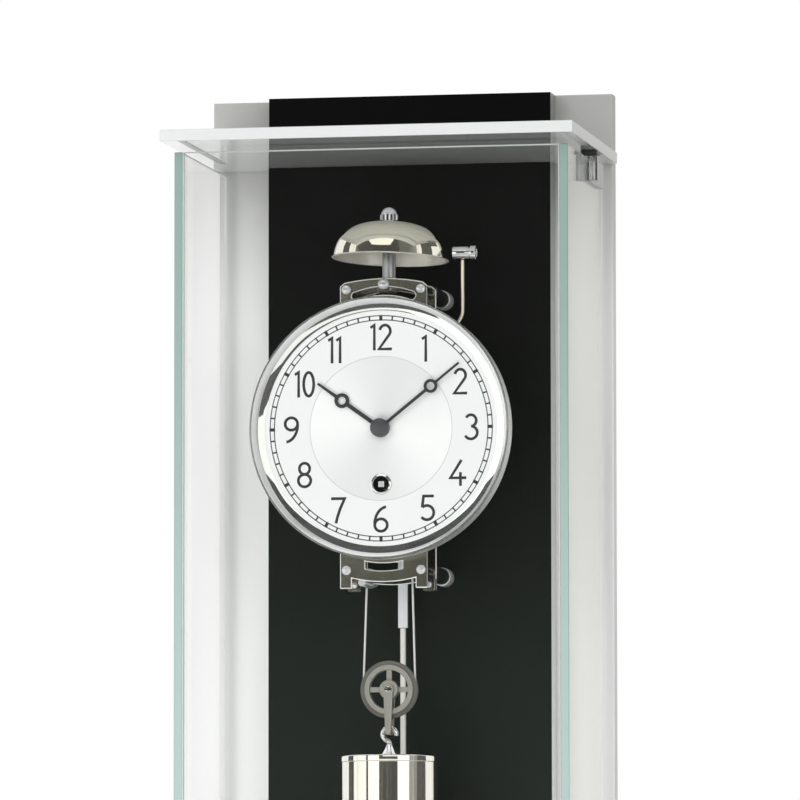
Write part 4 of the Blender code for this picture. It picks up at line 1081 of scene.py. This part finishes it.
def makeBell():
    s = bellSizes
    low, high = corners("bell")
    radius, tall = (high.x - low.x) / 2 - s["trim"], s["tall"]
    wall = s["wall"]
    outside = [(radius + s["bead"] - 0.0003, 0.0), (radius + s["bead"], 0.0003), (radius, 0.0007)]
    reach = radius
    for (start, first), (end, last) in zip(s["slopes"], s["slopes"][1:]):
        step = (end - start) / 5000
        for k in range(5):
            reach -= math.tan(math.radians(first + (last - first) * (k + 0.5) / 5)) * step
            height = start / 1000 + step * (k + 1)
            if 0.002 < height < tall and reach > s["hole"]:
                outside.append((reach, height))
    outside.append((s["hole"], tall))
    inside = [(max(r - wall, s["hole"]), max(h - wall * h / tall, 0.0)) for r, h in outside[2:]]
    inside[0] = (radius - wall, 0.0)
    inside = [p for k, p in enumerate(inside) if k == 0 or p[0] > s["hole"]] + [(s["hole"], tall - wall)]
    spot = middleOf("bell")
    foot, finishes = (spot.x, spot.y, low.z), [bellNickel, bellInside]
    bell = spun("bellDome", outside + inside[::-1], foot, (0, 0, 1), finishes, 128, 14)
    for face in bell.data.polygons:
        away = Vector((face.center.x - spot.x, face.center.y - spot.y, 0))
        if face.normal.dot(away) < 0 or face.normal.z < -0.2:
            face.material_index = 1
    crown = Matrix.Translation((spot.x, spot.y, low.z + tall))
    nod, roll = (math.radians(angle) for angle in s["tilt"])
    lean = Matrix.Rotation(-nod, 4, "X") @ Matrix.Rotation(roll, 4, "Y")
    bell.data.transform(Matrix.Translation((s["shift"], 0, 0)) @ crown @ lean @ crown.inverted())
    mount(bell, "case", "nickel", "bell")

    low, high = corners("bell_post")
    radius = (high.x - low.x) / 2
    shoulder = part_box("bell")[0][2] + s["tall"] - 0.0021 - low.z
    long = high.z - low.z
    profile = [(0, 0), (radius, 0), (radius, shoulder), (0.0025, shoulder), (0.0025, long), (0, long)]
    post = spun("bellPost", rounded(profile, 0.0003), (spot.x, spot.y, low.z), (0, 0, 1), postFinish, 48)
    mount(post, "case", "chrome", "bell_post")

    low, high = corners("bell_nut")
    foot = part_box("bell")[0][2] + s["tall"] + 0.0001
    radius, tall = (high.x - low.x) / 2, high.z - 0.0004 - foot
    skirt = tall * 0.45
    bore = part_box("bell_post")[1][2] - foot + 0.0003
    wide = radius * 0.94
    profile = [(0, bore), (0.0028, bore), (0.0028, 0), (wide, 0), (wide, skirt)]
    for k in range(1, 13):
        a = math.radians(90 * k / 12)
        profile.append((wide * math.cos(a) if k < 12 else 0, skirt + (tall - skirt) * math.sin(a)))
    dome = spun("dome", profile, (spot.x, spot.y, foot), (0, 0, 1), [screwFinish, paintedDarkFinish], 56)
    # painted shade: the skirt's sides between the ribs are dark, for the shade in the slits
    for face in dome.data.polygons:
        if face.center.z < foot + skirt * 0.9 and abs(face.normal.z) < 0.2:
            face.material_index = 1
    place = Matrix.Translation((spot.x, spot.y, foot + skirt / 2))
    bars = (radius * 0.26, radius * 0.2, skirt * 0.94)
    ribs = ringBars("ribs", s["ribs"], radius * 0.93, bars, screwFinish, place)
    mount(joined("bellCapNut", dome, ribs), "case", "chrome", "bell_nut")


def makeHammer():
    low, high = corners("hammer_head")
    spot = (low + high) / 2
    collar = (high.z - low.z) / 2
    body = collar * 0.9
    long = high.x - low.x
    neck = long - 0.0052
    dip = 0.0028
    profile = [(0, 0), (body, 0), (body, neck), (body * 0.86, neck + 0.0003), (body * 0.86, neck + 0.0011)]
    profile += [(collar, neck + 0.0015), (collar, long), (dip, long), (dip, long - 0.0016), (0, long - 0.0016)]
    head = spun("head", rounded(profile, 0.00035), (low.x, spot.y, spot.z), (1, 0, 0), chromeFinish, 56)
    # painted shade: a dark disc darkens the floor of the end recess
    floor = rod(dip - 0.0001, long - 0.0016, long - 0.0012)
    recess = spun("recess", floor, (low.x, spot.y, spot.z), (1, 0, 0), paintedDarkFinish, 40)
    mount(joined("hammerHead", head, recess), "hammer", "nickel", "hammer_head")

    pivot = Vector((0.0224, spot.y, dialMiddle.z + 0.0354))
    armLow, armHigh = corners("hammer_arbor")
    wireX, knee = 0.0490, dialMiddle.z + 0.0748
    top = low.z + (collar - body) - 0.0003
    slope = Vector((wireX - pivot.x, 0, knee - pivot.z)).normalized()
    corner = Vector((wireX, spot.y, knee))
    points = [pivot, pivot.lerp(corner, 0.5), corner - slope * 0.004]
    points.append(corner - slope * 0.0014 + Vector((0, 0, 0.0004)))
    points += [corner + Vector((-0.0001, 0, 0.0018)), corner + Vector((0, 0, 0.0045))]
    points += [Vector((wireX, spot.y, (knee + top) / 2)), Vector((wireX, spot.y, top))]
    stem = wire("stem", points, 0.00105, wireBrass, 5)
    profile = rod(0.0011, armLow.y, armHigh.y)
    arbor = spun("arbor", profile, (pivot.x, 0, pivot.z), (0, 1, 0), steelFinish, 28)
    boss = spun("boss", rounded(rod(0.0032, -0.003, 0.003), 0.0004), pivot, (0, 1, 0), steelFinish, 36)
    half, end = 0.0014, dialMiddle.z + 0.0030
    inX, outX = -0.0095 + half, -0.0095 - half
    loop = [(pivot.x + 2 * half, pivot.z - half), (pivot.x + 2 * half, pivot.z + half), (outX, pivot.z + half)]
    loop += [(outX, end), (inX, end), (inX, pivot.z - half)]
    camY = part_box("front_plate")[1][1] + 0.0018
    tail = cutOut("tail", [loop], camY, 0.0016, steelFinish, 0.0002)
    mount(joined("hammerArm", stem, arbor, boss, tail), "hammer", "steel", "hammer_arbor")


makeBell()
makeHammer()
print("bell: made")

# pulley, hook, weight and cables

weightSizes = {
    "rimFace": 0.0161,
    "rimInner": 0.0127,
    "groove": 0.0161,
    "hub": 0.0062,
    "spoke": 0.0035,
    "web": 0.0024,
    "bore": 0.0020,
    "hookWire": 0.0016,
    "hookRing": 0.0044,
    "strap": (0.0040, 0.0012, 0.0019, 0.0276),  # inner reach, thickness, half foot, drop of its pin
}
ropeSizes = {
    "radius": 0.0007,
    "pulleyLine": 0.0171,
    "drumLine": 0.0147,
    "anchor": -0.0149,
    "pitch": 0.0020,
    "turns": 4.5,
}


def spokeWindows(z, inner, outer, count, spoke):
    loops = []
    for k in range(count):
        first, last = 360 * k / count, 360 * (k + 1) / count
        trimOut = math.degrees(math.asin(spoke / 2 / outer))
        trimIn = math.degrees(math.asin(spoke / 2 / inner))
        loop = bend(0, z, outer, first + trimOut, last - trimOut, 15)
        loops.append(loop + bend(0, z, inner, last - trimIn, first + trimIn, 9))
    return loops


def makePulley():
    s = weightSizes
    low, high = corners("pulley")
    spot = (low + high) / 2
    radius = (high.x - low.x) / 2
    half = 0.003
    lip, bed = half * 0.72, half * 0.3
    face, inner = s["rimFace"], s["rimInner"]
    ring = [(inner, half - 0.0003), (inner + 0.0003, half), (face - 0.0003, half), (face, half - 0.0003)]
    ring += [(face + 0.0001, half - 0.0011), (face + 0.0004, half - 0.0012), (radius - 0.0003, lip + 0.0003)]
    ring += [(radius, lip), (radius - 0.0004, lip - 0.0004), (s["groove"], bed)]
    profile = ring + [(r, -a) for r, a in ring[::-1]]
    rim = spun("rim", profile, spot, (0, -1, 0), [castFinish, lipFinish], 96, 25)
    for side in rim.data.polygons:
        reach = math.hypot(side.center.x - spot.x, side.center.z - spot.z)
        if reach > face:
            side.material_index = 1
    loops = [ringOf(0, spot.z, inner + 0.0006, 72), ringOf(0, spot.z, s["bore"], 32)]
    loops += spokeWindows(spot.z, s["hub"] - 0.0002, inner - 0.0001, 4, s["spoke"])
    web = cutOut("web", loops, spot.y - s["web"] / 2, s["web"], castFinish, 0.0003)
    long = (high.y - low.y) / 2
    bore, hub = s["bore"], s["hub"]
    profile = [(bore, long), (hub - 0.0003, long), (hub, long - 0.0003), (hub, -long), (bore, -long)]
    boss = spun("boss", profile, spot, (0, -1, 0), castFinish, 48)
    mount(joined("pulleyWheel", rim, web, boss), "pulley_wheel", "nickel", "pulley")


def makeStirrup():
    s = weightSizes
    axle = middleOf("pulley")
    inner, thick, half, drop = s["strap"]
    pinZ = axle.z - drop
    front, rear = axle.y - inner - thick, axle.y + inner + thick
    parts = []
    for start in (front, axle.y + inner):
        loop = bend(0, axle.z, 0.0036, -30, 210, 24) + bend(0, pinZ, half, 180, 360, 16)
        parts.append(cutOut("strap", [loop], start, thick, castFinish, 0.0003))
    for z, radius in ((axle.z, 0.0017), (pinZ, 0.0013)):
        profile = rod(radius, front + 0.0002, rear - 0.0002)
        parts.append(spun("pin", profile, (0, 0, z), (0, 1, 0), steelFinish, 32))
    mount(joined("pulleyStirrup", *parts), "weight_set", "steel", "stirrup")
    screw = screws("axleScrew", [(0, front, axle.z)], (0.0026, 0.0010, 0.0011), steelFinish)
    mount(screw, "weight_set", "steel")

    ringZ = pinZ - (s["hookRing"] - s["hookWire"] - 0.0013 - 0.0003)
    hookLow, hookHigh = corners("weight_hook")
    baseTop = hookLow.z + 0.0082
    arcPoints = [Vector((u, axle.y, v)) for u, v in bend(0, ringZ, s["hookRing"], -14, 232, 15)]
    halfway = (ringZ - s["hookRing"] + baseTop) / 2
    neck = [Vector((-0.0003, axle.y, halfway)), Vector((0, axle.y, baseTop - 0.0012))]
    hook = wire("ring", arcPoints + neck, s["hookWire"], chromeFinish, 6)
    wide = (hookHigh.y - hookLow.y) / 2 + 0.0008
    profile = [(0, 0), (wide - 0.0002, 0), (wide, 0.0003)]
    for k in range(13):
        t = k / 12
        profile.append((s["hookWire"] + (wide - s["hookWire"]) * (1 - t) ** 1.35, 0.0006 + 0.0076 * t))
    profile.append((0, 0.0083))
    flare = spun("flare", profile, (0, axle.y, hookLow.z), (0, 0, 1), chromeFinish, 48)
    mount(joined("weightHook", hook, flare), "weight_set", "steel", "weight_hook")


def makeWeight():
    low, high = corners("weight")
    radius, tall = (high.x - low.x) / 2 + 0.0005, high.z - low.z
    spot = middleOf("weight")
    cap, body = 0.0040, radius - 0.0004
    profile = [(0, 0), (radius - 0.0004, 0), (radius, 0.0006), (radius, cap)]
    profile += [(body, cap + 0.0002), (body, cap + 0.0010)]
    profile += [(body, tall - cap - 0.0010), (body, tall - cap - 0.0002)]
    profile += [(radius, tall - cap), (radius, tall - 0.0006)]
    profile += [(radius - 0.0006, tall), (0, tall)]
    foot = (0, spot.y, low.z)
    weight = spun("weightShell", rounded(profile, 0.00025, 3), foot, (0, 0, 1), nickelFinish, 128, 30)
    mount(weight, "weight_set", "nickel", "weight")


def makeCables():
    s = ropeSizes
    pulley = middleOf("pulley")
    low = corners("cable_right")[0]
    clear = low.y + s["radius"] - 0.0015  # beside the last turn, clear of it as the drum turns
    for name, node, side, x, y, steps in (
        ("cableLeft", "cable_left", -1, s["anchor"], pulley.y, 60),
        ("cableRight", "cable_right", 1, s["drumLine"], clear, 100),
    ):
        top = Vector((x, y, corners(node)[1].z))
        foot = Vector((side * s["pulleyLine"], pulley.y, pulley.z + 0.0003))
        points = [top.lerp(foot, k / steps) for k in range(steps + 1)]
        run = wire(name, points, s["radius"], ropeFinish, 4, False)
        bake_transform(run)
        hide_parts(node)
    under = [Vector((u, pulley.y, v)) for u, v in bend(0, pulley.z, s["pulleyLine"], 180, 360, 41)]
    wrap = wire("cableUnderPulley", under, s["radius"], ropeFinish, 4, False)
    mount(wrap, "weight_set", "cable_steel", "cable_wrap")
    makeWinding()


def makeWinding():
    s = ropeSizes
    line, steps = s["drumLine"], 36
    rear = corners("cable_winding")[1].y - s["radius"]
    count = int(s["turns"] * steps)
    points = []
    for k in range(count + 1):
        a = -2 * math.pi * (count - k) / steps
        points.append(Vector((line * math.cos(a), rear - s["pitch"] * k / steps, drumZ - line * math.sin(a))))
    points.append(Vector((line, points[-1].y, drumZ - 2 * s["radius"])))
    winding = wire("cableTurns", points, s["radius"], ropeFinish, 3, False)
    mount(winding, "drum", "cable_steel", "cable_winding")


makePulley()
makeStirrup()
makeWeight()
makeCables()
print("weight: made")

# pendulum

bobSizes = {"edge": 0.0030, "radius": 0.055, "knurls": 36, "leaderSlot": (0.0600, 0.0027, 0.0013)}


def makePendulum():
    low, high = corners("pendulum_leader")
    half = high.x
    drop, reach, wide = bobSizes["leaderSlot"]
    slotZ = palletZ - drop
    loop = [(-half, low.z), (half, low.z), (half, high.z), (-half, high.z)]
    slot = bend(0, slotZ + reach, wide, 0, 180, 13) + bend(0, slotZ - reach, wide, 180, 360, 13)
    leader = cutOut("pendulumLeader", [loop, slot], low.y, high.y - low.y, leaderFinish, 0.0004)
    mount(leader, "pendulum", "leader_white", "pendulum_leader")
    low, high = corners("pendulum_rod")
    radius = (high.x - low.x) / 2
    middle = (low + high) / 2
    profile = rounded(rod(radius, low.z, high.z), 0.0005)
    stem = spun("pendulumRod", profile, (0, middle.y, 0), (0, 0, 1), rodFinish, 40)
    mount(stem, "pendulum", "steel", "pendulum_rod")
    low, high = corners("pendulum_bob")
    spot = (low + high) / 2
    radius, swell, rim = bobSizes["radius"], (high.y - low.y) / 2, bobSizes["edge"] / 2
    profile = [(0, -swell)]
    for k in range(1, 13):
        t = k / 12
        profile.append(((radius - 0.0006) * t, -(rim + (swell - rim) * (1 - t ** 1.9))))
    profile += [(radius, -rim + 0.0003), (radius, rim - 0.0003)]
    profile += [(r, -a) for r, a in profile[::-1][2:]]
    bob = spun("pendulumBob", profile, spot, (0, 1, 0), nickelFinish, 128, 30)
    mount(bob, "pendulum", "nickel", "pendulum_bob")
    low, high = corners("rating_nut")
    spot = (low + high) / 2
    radius, tall = (high.x - low.x) / 2, high.z - low.z
    profile = [(0.0022, 0), (radius * 0.9, 0), (radius * 0.95, 0.0004), (radius * 0.95, tall - 0.0004)]
    profile += [(radius * 0.9, tall), (0.0022, tall)]
    nut = spun("nut", profile, (0, spot.y, low.z), (0, 0, 1), brassFinish, 48)
    place = Matrix.Translation((0, spot.y, spot.z))
    ridge = (radius * 0.1, 0.0005, tall * 0.76)
    knurls = ringBars("knurls", bobSizes["knurls"], radius * 0.94, ridge, brassFinish, place)
    mount(joined("ratingNut", nut, knurls), "pendulum", "brass", "rating_nut")


makePendulum()
print("pendulum: made")

# solids that stay as they are

stays = {
    "hanger_plate": steelFinish,
    "suspension_cock": brassFinish,
    "cable_anchor": screwFinish,
    "winding_drum": brassFinish,
    "great_wheel": brassFinish,
    "intermediate_wheel": brassFinish,
    "centre_wheel": brassFinish,
    "third_wheel": brassFinish,
    "escape_wheel": brassFinish,
    "pallet_anchor": steelFinish,
    "crutch": steelFinish,
    "cannon_pinion": steelFinish,
    "minute_wheel": brassFinish,
    "hour_wheel": brassFinish,
    "suspension_spring": steelFinish,
}
for node, finish in stays.items():
    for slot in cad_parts[node].material_slots:
        slot.material = finish

# camera, light and surroundings

photoView = {
    "place": (0.96508, -5.18385, -0.60134),
    "yaw": 0.1862158,
    "pitch": 0.0874145,
    "roll": 0.0010715,
    "lens": 8001 * 36 / 800,
}


def makeCamera():
    data = bpy.data.cameras.new("photoCamera")
    data.sensor_width = 36
    data.lens = photoView["lens"]
    data.clip_end = 200
    camera = bpy.data.objects.new("photoCamera", data)
    turn = Matrix.Rotation(photoView["yaw"], 4, "Z") @ Matrix.Rotation(photoView["pitch"], 4, "X")
    turn = turn @ Matrix.Rotation(photoView["roll"], 4, "Y") @ Matrix.Rotation(math.pi / 2, 4, "X")
    camera.matrix_world = Matrix.Translation(photoView["place"]) @ turn
    scene.collection.objects.link(camera)
    scene.camera = camera


lamps = {  # place, size, power
    "keyLamp": ((-1.3, -3.0, 0.9), 1.8, 25.5),
    "fillLamp": ((1.6, -2.8, 0.4), 1.8, 17.5),
    "lowLamp": ((-0.3, -1.7, -1.2), 1.2, 16.0),
}


def makeLight():
    for name, (place, size, power) in lamps.items():
        data = bpy.data.lights.new(name, "AREA")
        data.size = size
        data.energy = power
        lamp = bpy.data.objects.new(name, data)
        aim = Vector((0, -0.05, -0.25)) - Vector(place)
        lamp.matrix_world = Matrix.Translation(place) @ aim.to_track_quat("-Z", "Y").to_matrix().to_4x4()
        lamp.visible_glossy = False
        lamp.visible_transmission = name != "lowLamp"  # not mirrored in the bezel through the glass
        scene.collection.objects.link(lamp)
    world = bpy.data.worlds.new("studio")
    world.use_nodes = True
    scene.world = world
    tree = world.node_tree
    path = addNode(tree, "ShaderNodeLightPath")
    seen = path["Is Camera Ray"]
    for kind in ("Is Glossy Ray", "Is Transmission Ray"):
        seen = figure(tree, "MAXIMUM", seen, path[kind])
    level = addNode(tree, "ShaderNodeMapRange", {"To Min": 0.5, "To Max": 1.0, "Value": seen})
    sky = tree.nodes["Background"]
    sky.inputs["Color"].default_value = (1, 1, 1, 1)
    feed(tree, sky.inputs["Strength"], level["Result"])


# studio flags and cards round the clock, seen only in reflections: bearing and height ranges in degrees, glow;
# two more numbers widen the top edge and bring the card in front of the rest
flags = {
    "frontLowFlag": (-14, 30, -6, 3, 0.085),
    "frontUnderCard": (-14, 30, -15, -6, 1.0),
    "frontDeepFlag": (-24, 30, -34, -15, 0.085, 0, 0),
    "frontLineFlag": (-15, -5, 3, 15, 0.085),
    "frontBoxCard": (-5, 30, 3, 15, 1.1),
    "frontHighFlag": (-14, 30, 15, 50, 0.06),
    "frontTopRight": (35, 68, 47, 66, 0.06),
    "rightHighFlag": (30, 68, 15, 47, 0.14),
    "rightBoxCard": (30, 58, -34, 15, 1.3),
    "rightGreyFlag": (58, 79, -34, 15, 0.27),
    "rightFlag": (79, 106, -34, 40, 0.10),
    "leftHighFlag": (-66, -14, 15, 47, 0.06),
    "leftTopFlag": (-66, -43, 47, 66, 0.06),
    "leftBoxCard": (-41, -14, -34, 15, 1.3),
    "leftLine": (-47, -40, -34, 15, 0.05),
    "leftCreamCard": (-83, -46, -34, 15, 1.12),
    "leftFlag": (-102, -83, -34, 40, 0.09),
    "topWindowCard": (-29, 11, 33, 50, 1.14, -24, 12),
    "topBoxCard": (-43, 35, 50, 66, 1.15),
    "backFlag": (158, 179, -34, 34, 0.68),
}
flagMiddle, flagReach = Vector((0, -0.1, -0.22)), 3.2


def onlyMirrored(finish, glow):  # shows on rays that have met a shiny surface, through the glass too
    tree = finish.node_tree
    shader = tree.nodes["Principled BSDF"]
    shader.inputs["Emission Color"].default_value = (glow, glow, glow * 0.94, 1)
    shader.inputs["Emission Strength"].default_value = 1.0
    met = figure(tree, "GREATER_THAN", addNode(tree, "ShaderNodeLightPath")["Glossy Depth"], 0.5)
    mixShaders(tree, met, addNode(tree, "ShaderNodeBsdfTransparent")["BSDF"], shader.outputs["BSDF"])


def makeFlags():
    for name, (azLow, azHigh, elLow, elHigh, glow, *spread) in flags.items():
        left, right = spread or (0, 0)
        reach = flagReach - (0.1 if spread else 0)
        finish = grained(name + "Cloth", (8, 8, 8), (5, 5, 5), (0.8, 0.9), 3.0, Specular_IOR_Level=0.0)
        onlyMirrored(finish, glow)
        bm = bmesh.new()
        rows = []
        for i in range(7):
            el = math.radians(elLow + (elHigh - elLow) * i / 6)
            row = []
            for k in range(13):
                first, last = azLow + left * i / 6, azHigh + right * i / 6
                az = math.radians(first + (last - first) * k / 12)
                away = Vector((math.sin(az) * math.cos(el), -math.cos(az) * math.cos(el), math.sin(el)))
                row.append(bm.verts.new(flagMiddle + away * reach))
            rows.append(row)
        for one, two in zip(rows, rows[1:]):
            for k in range(12):
                bm.faces.new((one[k], one[k + 1], two[k + 1], two[k]))
        card = makePiece(name, bm, finish)
        for way in ("camera", "diffuse", "shadow", "volume_scatter"):
            setattr(card, "visible_" + way, False)


def makeFloor():
    finish = grained("paleFloor", (236, 236, 235), (230, 230, 229), (0.6, 0.8), 6.0, 0.0, 0.02)
    bm = bmesh.new()
    bmesh.ops.create_grid(bm, x_segments=1, y_segments=1, size=9.0)
    bmesh.ops.translate(bm, vec=(0, 0, -1.5), verts=bm.verts[:])
    makePiece("floor", bm, finish)


makeCamera()
makeLight()
makeFlags()
makeFloor()
scene.view_settings.view_transform = "Standard"
print("scene: ready")
